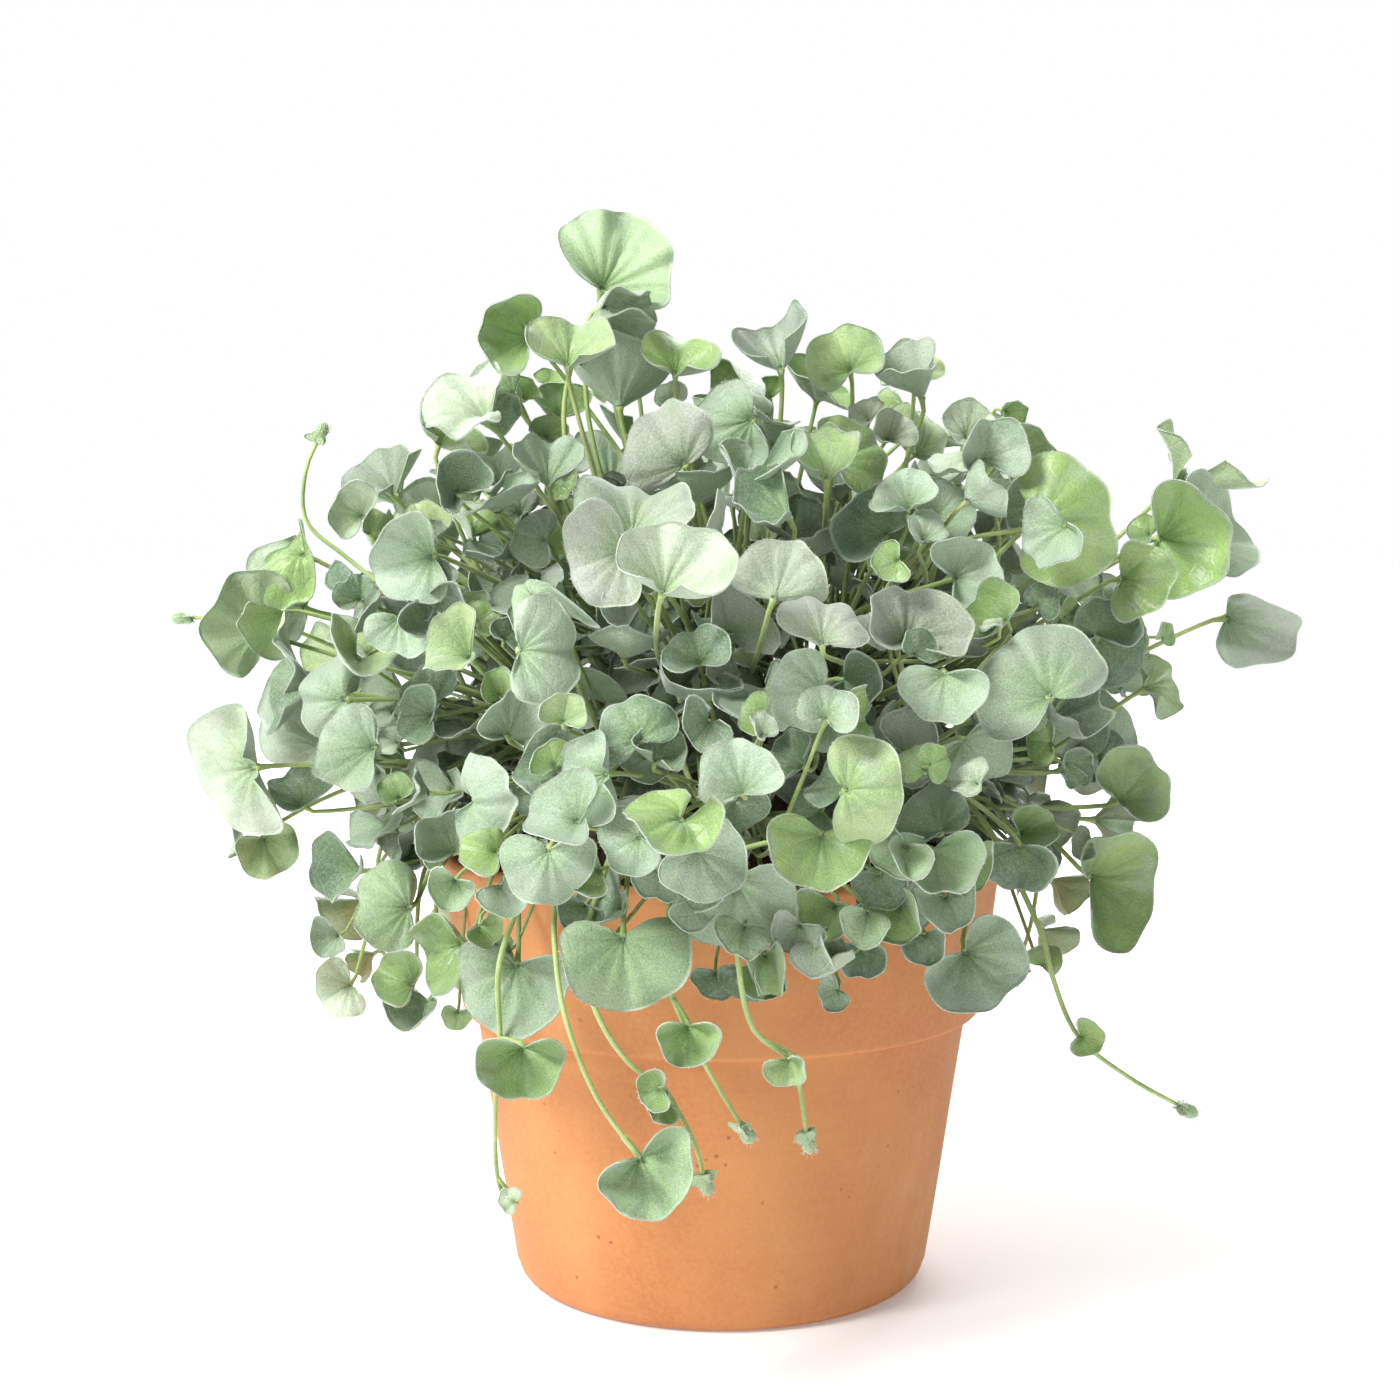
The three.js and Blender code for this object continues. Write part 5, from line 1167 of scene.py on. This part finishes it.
room = Room(leaves)
added = {name: Skin() for name in ("small_leaves_front", "small_leaves_left", "small_leaves_back",
                                   "small_leaves_right")}


def added_skin(leaf):
    quarter = int(((math.degrees(math.atan2(leaf["joint"][1], leaf["joint"][0])) + 135) % 360) // 90)
    names = ["small_leaves_front", "small_leaves_right", "small_leaves_back", "small_leaves_left"]
    return added[names[quarter]]


def add_extra(leaf, random):
    room.take(leaf)
    add_blade(added_skin(leaf), leaf, random, fine=False)
    add_stalk(added_skin(leaf), leaf, stalk_from_nearest_stem(leaf), random)


for index, row in enumerate(SMALL_LEAVES):
    leaf = measured_leaf(row, 2000 + index, row[6] * mound_depth(row[0], row[1]))
    for slide in SLIDES:
        moved = {**leaf, "joint": leaf["joint"] + leaf["sight"] * slide}
        if room.is_free(moved):
            add_extra(moved, details)
            break

skirt = Draws(SEED + 61)
count = 0
for _ in range(SKIRT_TRIES):
    leaf = skirt_leaf(skirt)
    if count < SKIRT_LEAVES and is_outside_pot(leaf["joint"]) and room.is_free(leaf):
        add_extra(leaf, skirt)
        count += 1

inner = Draws(SEED + 99)
count = 0
for _ in range(INNER_TRIES):
    leaf = inner_leaf(inner)
    low_enough = leaf["joint"][2] < INNER_TOP
    if count < INNER_LEAVES and low_enough and is_outside_pot(leaf["joint"]) and room.is_free(leaf):
        add_extra(leaf, inner)
        count += 1


# Pot and soil

def outer_radius(height):
    step = POT_HEIGHT - BAND_HEIGHT
    if height >= step:
        return BAND_FOOT_RADIUS + (RIM_RADIUS - BAND_FOOT_RADIUS) * ((height - step) / BAND_HEIGHT)
    return FOOT_RADIUS + (BAND_FOOT_RADIUS - STEP_WIDTH - FOOT_RADIUS) * (height / step)


def inner_radius(height):
    share = (height - POT_FLOOR) / (POT_HEIGHT - POT_FLOOR)
    return FOOT_RADIUS - POT_WALL + (RIM_RADIUS - FOOT_RADIUS) * share


def arc(centre, radius, start, end, steps):
    turns = np.radians(np.linspace(start, end, steps))
    return [(centre[0] + radius * math.cos(t), centre[1] + radius * math.sin(t)) for t in turns]


def pot_profile():
    """The pot's section, from the foot up the outside, over the rim and down the inside."""
    step = POT_HEIGHT - BAND_HEIGHT
    body = [(outer_radius(z), z) for z in np.linspace(FOOT_ROUND + 0.5, step - 1.6, 14)]
    band = [(outer_radius(z), z) for z in np.linspace(step + 2.2, POT_HEIGHT - EDGE_ROUND - 0.3, 10)]
    inside = [(inner_radius(z), z) for z in np.linspace(POT_HEIGHT - EDGE_ROUND - 0.6, POT_FLOOR + 2, 12)]
    top = outer_radius(step - 1)
    return (
        [(DRAIN_RADIUS, 0.4), (DRAIN_RADIUS + 0.6, 0), (30, 0)]
        + arc((FOOT_RADIUS - FOOT_ROUND + 0.3, FOOT_ROUND), FOOT_ROUND, -88, -6, 8)
        + body
        + arc((top + 1.0, step - 1.0), 1.0, 180, 100, 4)
        + arc((BAND_FOOT_RADIUS - 1.2, step + 1.2), 1.25, -85, -4, 6)
        + band
        + arc((RIM_RADIUS - EDGE_ROUND - 0.15, POT_HEIGHT - EDGE_ROUND), EDGE_ROUND, 0, 180, 9)
        + inside
        + [(inner_radius(POT_FLOOR) - 2, POT_FLOOR), (DRAIN_RADIUS + 0.4, POT_FLOOR)]
        + [(DRAIN_RADIUS, POT_FLOOR - 0.5)]
    )


def build_pot():
    """The profile turned round the pot's axis, a touch out of round as thrown clay is."""
    turns = np.linspace(0, 2 * np.pi, POT_SIDES, endpoint=False)
    points = []
    profile = pot_profile()
    for radius, height in profile:
        ring = radius + POT_WOBBLE * np.sin(3 * turns + height / 9) * (radius > 20)
        level = np.full(POT_SIDES, height)
        points.append(np.stack([ring * np.cos(turns), ring * np.sin(turns), level], axis=1))
    last = (len(profile) - 1) * POT_SIDES
    j = np.arange(POT_SIDES)
    k = (j + 1) % POT_SIDES
    closing = np.stack([last + j, last + k, k, j], axis=1)
    quads = grid_quads(len(profile), POT_SIDES, closed=True)
    skin = Skin()
    skin.add(np.concatenate(points), np.concatenate([quads, closing]))
    return skin


def build_soil():
    """A lumpy dome with a plain side wall and base, and loose bits lying on it."""
    random = Draws(SEED + 3)
    skin = Skin()
    wall = inner_radius(SOIL_EDGE_HEIGHT) - SOIL_GAP
    base = inner_radius(POT_FLOOR + SOIL_GAP) - SOIL_GAP
    sides = 120
    turns = np.linspace(0, 2 * np.pi, sides, endpoint=False)
    rings = [(0.5, POT_FLOOR + SOIL_GAP), (base, POT_FLOOR + SOIL_GAP)]
    radii = np.linspace(wall, 0.5, 44)
    rows = [np.stack([r * np.cos(turns), r * np.sin(turns), np.full(sides, z)], axis=1) for r, z in rings]
    waves = [(3 + 22 * random(), 3 + 22 * random(), 6.28 * random(), 6.28 * random()) for _ in range(14)]
    for radius in radii:
        x, y = radius * np.cos(turns), radius * np.sin(turns)
        lumps = sum(np.sin(x / a + p) * np.cos(y / b + q) for a, b, p, q in waves) / 5
        edge = min(1, (wall - radius) / 4)
        rows.append(np.stack([x, y, soil_height(radius) + lumps * edge - 0.3], axis=1))
    centres = [vec(0, 0, POT_FLOOR + SOIL_GAP), vec(0, 0, SOIL_CROWN_HEIGHT - 0.3)]
    count = len(rows) * sides
    caps = [(count, (j + 1) % sides, j) for j in range(sides)]
    caps += [(count + 1, count - sides + j, count - sides + (j + 1) % sides) for j in range(sides)]
    skin.add(np.concatenate(rows + [centres]), grid_quads(len(rows), sides, closed=True), caps)
    for _ in range(900):
        radius = (wall - 2) * math.sqrt(random())
        turn = 6.283 * random()
        centre = vec(radius * math.cos(turn), radius * math.sin(turn), soil_height(radius) + 0.3 * random())
        size = 0.5 + 1.3 * random() ** 2
        turned = np.linalg.qr(np.array([[random() - 0.5 for _ in range(3)] for _ in range(3)]))[0]
        axes = turned * size * np.array([1, 0.7, 0.45 + 0.4 * random()])[:, None]
        points = np.concatenate([centre + axes, centre - axes])
        faces = [(0, 1, 2), (1, 3, 2), (3, 4, 2), (4, 0, 2), (1, 0, 5), (3, 1, 5), (4, 3, 5), (0, 4, 5)]
        skin.add(points, None, faces, mark=(0, random(), 1))
    return skin


# Materials

class Nodes:
    """The nodes of a material or a world. Each call adds one and returns its output."""

    def __init__(self, owner):
        owner.use_nodes = True
        self.owner = owner
        self.tree = owner.node_tree

    def feed(self, socket, value):
        if isinstance(value, bpy.types.NodeSocket):
            self.tree.links.new(value, socket)
        elif value is not None:
            socket.default_value = value

    def node(self, kind, inputs=(), output=0, **settings):
        node = self.tree.nodes.new(kind)
        for key, value in settings.items():
            setattr(node, key, value)
        for key, value in dict(inputs).items():
            self.feed(node.inputs[key], value)
        return node.outputs[output]

    def math(self, operation, a, b=None, clamp=False):
        return self.node("ShaderNodeMath", {0: a, 1: b}, operation=operation, use_clamp=clamp)

    def ramp(self, value, low, high, start=0.0, end=1.0):
        inputs = {"Value": value, "From Min": low, "From Max": high, "To Min": start, "To Max": end}
        return self.node("ShaderNodeMapRange", inputs, interpolation_type="SMOOTHSTEP")

    def mix(self, share, a, b, blend="MIX"):
        inputs = {0: share, 6: a, 7: b}
        return self.node("ShaderNodeMix", inputs, output=2, data_type="RGBA", blend_type=blend)

    def noise(self, where, scale, detail=3.0, roughness=0.55):
        inputs = {"Vector": where, "Scale": scale, "Detail": detail, "Roughness": roughness}
        return self.node("ShaderNodeTexNoise", inputs)

    def cells(self, where, scale, spread=1.0):
        inputs = {"Vector": where, "Scale": scale, "Randomness": spread}
        return self.node("ShaderNodeTexVoronoi", inputs)

    def where(self, scale=(1, 1, 1)):
        object_place = self.node("ShaderNodeTexCoord", output=3)
        return self.node("ShaderNodeMapping", {"Vector": object_place, "Scale": scale})

    def depth_shade(self, colour):
        """Painted shade: darkens a colour towards the middle of the crown, where the leaves lie in shadow."""
        object_place = self.node("ShaderNodeTexCoord", output=3)
        inputs = {"Vector": object_place, "Location": (0, 0, -1.02), "Scale": (9.2, 10.4, 9.2)}
        off = self.node("ShaderNodeMapping", inputs)
        off = self.node("ShaderNodeVectorMath", {0: off}, output=1, operation="LENGTH")
        return self.mix(self.ramp(off, 1.08, 0.3, 0.0, 0.8), colour, rgba(66, 84, 56), "MULTIPLY")

    def split(self, colour):
        node = self.tree.nodes.new("ShaderNodeSeparateColor")
        self.feed(node.inputs[0], colour)
        return node.outputs

    def bump(self, height, strength, distance, normal=None):
        inputs = {"Height": height, "Strength": strength, "Distance": distance, "Normal": normal}
        return self.node("ShaderNodeBump", inputs)

    def layers(self, colour, *layers):
        """Lays colours over one another, each given with the share that it covers."""
        for share, over in layers:
            colour = self.mix(share, colour, over)
        return colour

    def finish(self, **inputs):
        shader = self.tree.nodes["Principled BSDF"].inputs
        for key, value in inputs.items():
            self.feed(shader[key.replace("_", " ")], value)
        return self.owner


def new_material(name):
    return Nodes(bpy.data.materials.new(name))


def rgba(red, green, blue):
    return (*linear(red, green, blue), 1)


def leaf_material():
    """Felted silver leaf: veins that fan from the joint, greener near it, with a pale rim."""
    n = new_material("silver_leaf")
    where = n.where()
    tone = n.node("ShaderNodeAttribute", attribute_name="tone")
    side, _, gloss = n.split(n.node("ShaderNodeAttribute", attribute_name="mark"))[:3]
    place = n.tree.nodes.new("ShaderNodeSeparateXYZ")
    n.feed(place.inputs[0], n.node("ShaderNodeUVMap", uv_map="place"))
    around, along = place.outputs[0], place.outputs[1]

    angle = n.math("MULTIPLY", n.math("SUBTRACT", around, 0.5), 2 * EDGE_ANGLE / VEIN_STEP)
    bent = n.math("MULTIPLY", n.math("SUBTRACT", n.noise(where, 260, 2), 0.5), 0.5)
    angle = n.math("ADD", angle, n.math("MULTIPLY", bent, along))
    off_vein = n.math("ABSOLUTE", n.math("SUBTRACT", angle, n.math("ROUND", angle)))
    away = n.math("MULTIPLY", off_vein, n.math("ADD", along, 0.08))
    vein = n.math("SUBTRACT", 1, n.ramp(away, 0.01, 0.09))
    vein = n.math("MULTIPLY", vein, n.ramp(along, 0.85, 0.25, 0.1, 0.8))
    middle = n.math("ABSOLUTE", n.math("MULTIPLY", n.math("SUBTRACT", around, 0.5), along))
    middle = n.math("MULTIPLY", n.math("SUBTRACT", 1, n.ramp(middle, 0.003, 0.016)), n.ramp(along, 1.0, 0.6))
    vein = n.math("MAXIMUM", vein, middle)
    net = n.node("ShaderNodeTexVoronoi", {"Vector": where, "Scale": 420.0}, feature="DISTANCE_TO_EDGE")
    net = n.math("SUBTRACT", 1, n.ramp(net, 0.0, 0.16))

    broad = n.noise(where, 70, 3)
    felt = n.noise(where, 2600, 4, 0.7)
    hairs = n.cells(where, 3800)
    near_joint = n.math("POWER", n.math("SUBTRACT", 1, along), 2)
    worn = n.noise(n.where((1, 1, 1.2)), 110, 4, 0.65)
    colour = n.layers(
        tone,
        (n.ramp(broad, 0.4, 0.68, 0.0, 0.5), rgba(140, 174, 112)),
        (n.ramp(worn, 0.5, 0.72, 0.0, 0.45), rgba(190, 200, 192)),
        (n.ramp(worn, 0.5, 0.3, 0.0, 0.4), rgba(122, 140, 118)),
        (n.math("MULTIPLY", near_joint, 0.66), rgba(134, 174, 84)),
        (n.math("MULTIPLY", vein, 0.34), rgba(108, 146, 84)),
        (n.math("MULTIPLY", net, 0.08), rgba(196, 212, 170)),
        (n.ramp(along, 0.95, 0.995, 0.0, 0.7), rgba(222, 232, 208)),
    )
    under = n.mix(0.45, colour, rgba(176, 194, 166))
    colour = n.mix(side, under, colour)
    felted = n.math("SUBTRACT", 1, n.math("MULTIPLY", gloss, 0.55))
    light_spots = n.math("MULTIPLY", n.ramp(felt, 0.38, 0.7, 0.06, 0.36), felted)
    colour = n.mix(light_spots, colour, rgba(226, 234, 224))
    dark_spots = n.ramp(hairs, 0.25, 0.6, 0.0, 0.3)
    colour = n.mix(dark_spots, colour, rgba(104, 130, 92), "MULTIPLY")
    colour = n.depth_shade(colour)

    veins_up = n.math("MULTIPLY", vein, n.math("SUBTRACT", 0.5, side))
    quilt = n.bump(n.math("ADD", veins_up, n.math("MULTIPLY", net, -0.25)), 0.5, 0.0004)
    normal = n.bump(n.math("ADD", felt, n.math("MULTIPLY", hairs, -0.5)), 0.4, 0.00012, quilt)
    rough = n.math("SUBTRACT", n.ramp(broad, 0.3, 0.7, 0.5, 0.66), n.math("MULTIPLY", gloss, 0.24))
    return n.finish(
        Base_Color=colour,
        Roughness=rough,
        Normal=normal,
        Sheen_Weight=0.55,
        Sheen_Roughness=0.4,
        Sheen_Tint=rgba(226, 240, 232),
        Specular_IOR_Level=0.4,
    )


def stalk_material():
    """Yellow-green stalk with a fuzz of pale hair."""
    n = new_material("stalk")
    where = n.where()
    share = n.split(n.node("ShaderNodeAttribute", attribute_name="mark"))[0]
    rim = n.node("ShaderNodeLayerWeight", {"Blend": 0.35}, output=1)
    patches = n.noise(where, 90, 3)
    fuzz = n.noise(where, 3000, 3, 0.7)
    colour = n.mix(n.ramp(patches, 0.35, 0.65), rgba(140, 168, 84), rgba(176, 198, 120))
    colour = n.mix(n.ramp(share, 0.35, 0.7), rgba(168, 162, 104), colour)
    colour = n.mix(n.ramp(fuzz, 0.45, 0.7, 0.0, 0.45), colour, rgba(214, 222, 190))
    colour = n.depth_shade(colour)
    normal = n.bump(fuzz, 0.4, 0.0001)
    return n.finish(
        Base_Color=colour,
        Roughness=n.ramp(rim, 0.2, 0.9, 0.5, 0.7),
        Normal=normal,
        Sheen_Weight=0.6,
        Sheen_Roughness=0.35,
        Sheen_Tint=rgba(236, 242, 220),
    )


def hair_material():
    n = new_material("leaf_hair")
    where = n.where()
    colour = n.mix(n.noise(where, 900), rgba(206, 218, 196), rgba(236, 240, 228))
    rough = n.ramp(n.noise(where, 700), 0.3, 0.7, 0.5, 0.7)
    return n.finish(Base_Color=colour, Roughness=rough, Sheen_Weight=0.5)


def terracotta_material():
    """Fired clay: soft cloudy patches, faint turning lines, pores and a dusty bloom."""
    n = new_material("terracotta")
    where = n.where()
    clouds = n.noise(where, 22, 5, 0.6)
    fine = n.noise(where, 900, 4, 0.7)
    turning = n.noise(n.where((10, 10, 700)), 1.0, 3, 0.6)
    pores = n.cells(where, 330)
    pore_pick = n.noise(where, 120, 2)
    pore = n.math("MULTIPLY", n.math("SUBTRACT", 1, n.ramp(pores, 0.1, 0.2)), n.ramp(pore_pick, 0.6, 0.68))
    bloom = n.noise(n.where((30, 30, 16)), 1.0, 6, 0.65)
    colour = n.layers(
        rgba(193, 123, 72),
        (n.ramp(clouds, 0.3, 0.7), rgba(210, 145, 90)),
        (n.ramp(fine, 0.35, 0.7, 0.0, 0.35), rgba(218, 156, 108)),
        (n.ramp(turning, 0.4, 0.7, 0.0, 0.08), rgba(186, 118, 78)),
        (n.ramp(bloom, 0.56, 0.75, 0.0, 0.25), rgba(232, 190, 156)),
        (n.math("MULTIPLY", pore, 0.6), rgba(134, 82, 54)),
    )
    height = n.math("ADD", n.math("MULTIPLY", fine, 0.35), n.math("MULTIPLY", turning, 0.25))
    height = n.math("SUBTRACT", height, pore)
    normal = n.bump(height, 0.35, 0.0004)
    rough = n.ramp(clouds, 0.3, 0.7, 0.62, 0.78)
    return n.finish(Base_Color=colour, Roughness=rough, Normal=normal, Specular_IOR_Level=0.35)


def soil_material():
    """Dark peaty compost with pale bits in it."""
    n = new_material("soil")
    where = n.where()
    lumps = n.noise(where, 160, 6, 0.7)
    bits = n.cells(where, 420)
    pick = n.split(n.node("ShaderNodeAttribute", attribute_name="mark"))[1]
    colour = n.mix(n.ramp(lumps, 0.3, 0.7), rgba(44, 31, 22), rgba(86, 62, 44))
    colour = n.mix(n.ramp(pick, 0.82, 0.95), colour, rgba(150, 122, 94))
    normal = n.bump(n.math("ADD", lumps, bits), 0.8, 0.0012)
    return n.finish(Base_Color=colour, Roughness=n.ramp(lumps, 0.3, 0.7, 0.75, 0.95), Normal=normal)


leaf_finishes = [leaf_material(), stalk_material(), hair_material()]


# Pieces

def finished(piece, slot, *nodes):
    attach(piece, "root")
    if nodes:
        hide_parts(*nodes)
    return piece


for node, skin in skins.items():
    finished(skin.build(f"{node}_fine", leaf_finishes), "foliage", node)
for name, skin in added.items():
    finished(skin.build(name, leaf_finishes), "foliage")

finished(build_pot().build("terracotta_pot_fine", [terracotta_material()]), "terracotta", "terracotta_pot")
finished(build_soil().build("potting_soil_fine", [soil_material()]), "soil", "potting_soil")

# Floor, light and camera

FLOOR_HALF = 8.0
NEAR_GLOW = 0.2
FAR_GLOW = 0.42
corners = [(-FLOOR_HALF, -FLOOR_HALF, 0), (FLOOR_HALF, -FLOOR_HALF, 0), (FLOOR_HALF, FLOOR_HALF, 0),
           (-FLOOR_HALF, FLOOR_HALF, 0)]
floor_mesh = bpy.data.meshes.new("floor")
floor_mesh.from_pydata(corners, [], [(0, 1, 2, 3)])
floor = bpy.data.objects.new("floor", floor_mesh)
bpy.context.scene.collection.objects.link(floor)
paper = new_material("floor_paper")
grain = paper.noise(paper.where(), 400, 3)
distance = paper.node("ShaderNodeVectorMath", {0: paper.where()}, output=1, operation="LENGTH")
floor_mesh.materials.append(paper.finish(
    Base_Color=paper.mix(grain, rgba(238, 238, 240), rgba(246, 246, 248)),
    Roughness=paper.ramp(grain, 0.3, 0.7, 0.75, 0.9),
    Emission_Color=(1, 1, 1, 1),
    Emission_Strength=paper.ramp(distance, 0.2, 1.6, NEAR_GLOW, FAR_GLOW),
))


def area_light(name, place, target, size, power):
    light = bpy.data.lights.new(name, "AREA")
    light.size = size
    light.energy = power
    lamp = bpy.data.objects.new(name, light)
    lamp.location = place
    x, y, z = np.array(target) - np.array(place)
    lamp.rotation_euler = (math.atan2(math.hypot(x, y), -z), 0, math.atan2(x, -y) + math.pi)
    bpy.context.scene.collection.objects.link(lamp)


area_light("key", (-0.85, -0.8, 1.15), (0, 0, 0.12), 0.5, 26)
area_light("back", (0.1, 1.3, 0.9), (0, 0, 0.16), 1.2, 17)

# The studio is brightest behind the plant and on its left, and white at its horizon
BRIGHT_SIDE = (-0.8, 0.6, 0.0)
DARK_SIDE_STRENGTH = 0.06
world = bpy.data.worlds.new("studio")
bpy.context.scene.world = world
sky = Nodes(world)
way = sky.node("ShaderNodeTexCoord")
side = sky.node("ShaderNodeVectorMath", {0: way, 1: BRIGHT_SIDE}, output=1, operation="DOT_PRODUCT")
height = sky.node("ShaderNodeSeparateXYZ", {0: way}, output=2)
strength = sky.math("MAXIMUM", sky.ramp(side, -0.8, 0.3, DARK_SIDE_STRENGTH), sky.ramp(height, 0.16, 0.08))
background = sky.tree.nodes["Background"]
sky.feed(background.inputs["Strength"], strength)
background.inputs["Color"].default_value = (1, 1, 1, 1)

camera_data = bpy.data.cameras.new("camera")
camera_data.lens = 36 * VIEW["focal"] / VIEW["size"]
camera_data.sensor_width = 36
camera_data.clip_start = 0.01
camera = bpy.data.objects.new("camera", camera_data)
camera.location = EYE * MM
camera.rotation_euler = (math.radians(90 - VIEW["pitch"]), 0, 0)
bpy.context.scene.collection.objects.link(camera)
bpy.context.scene.camera = camera
bpy.context.scene.view_settings.view_transform = "Standard"
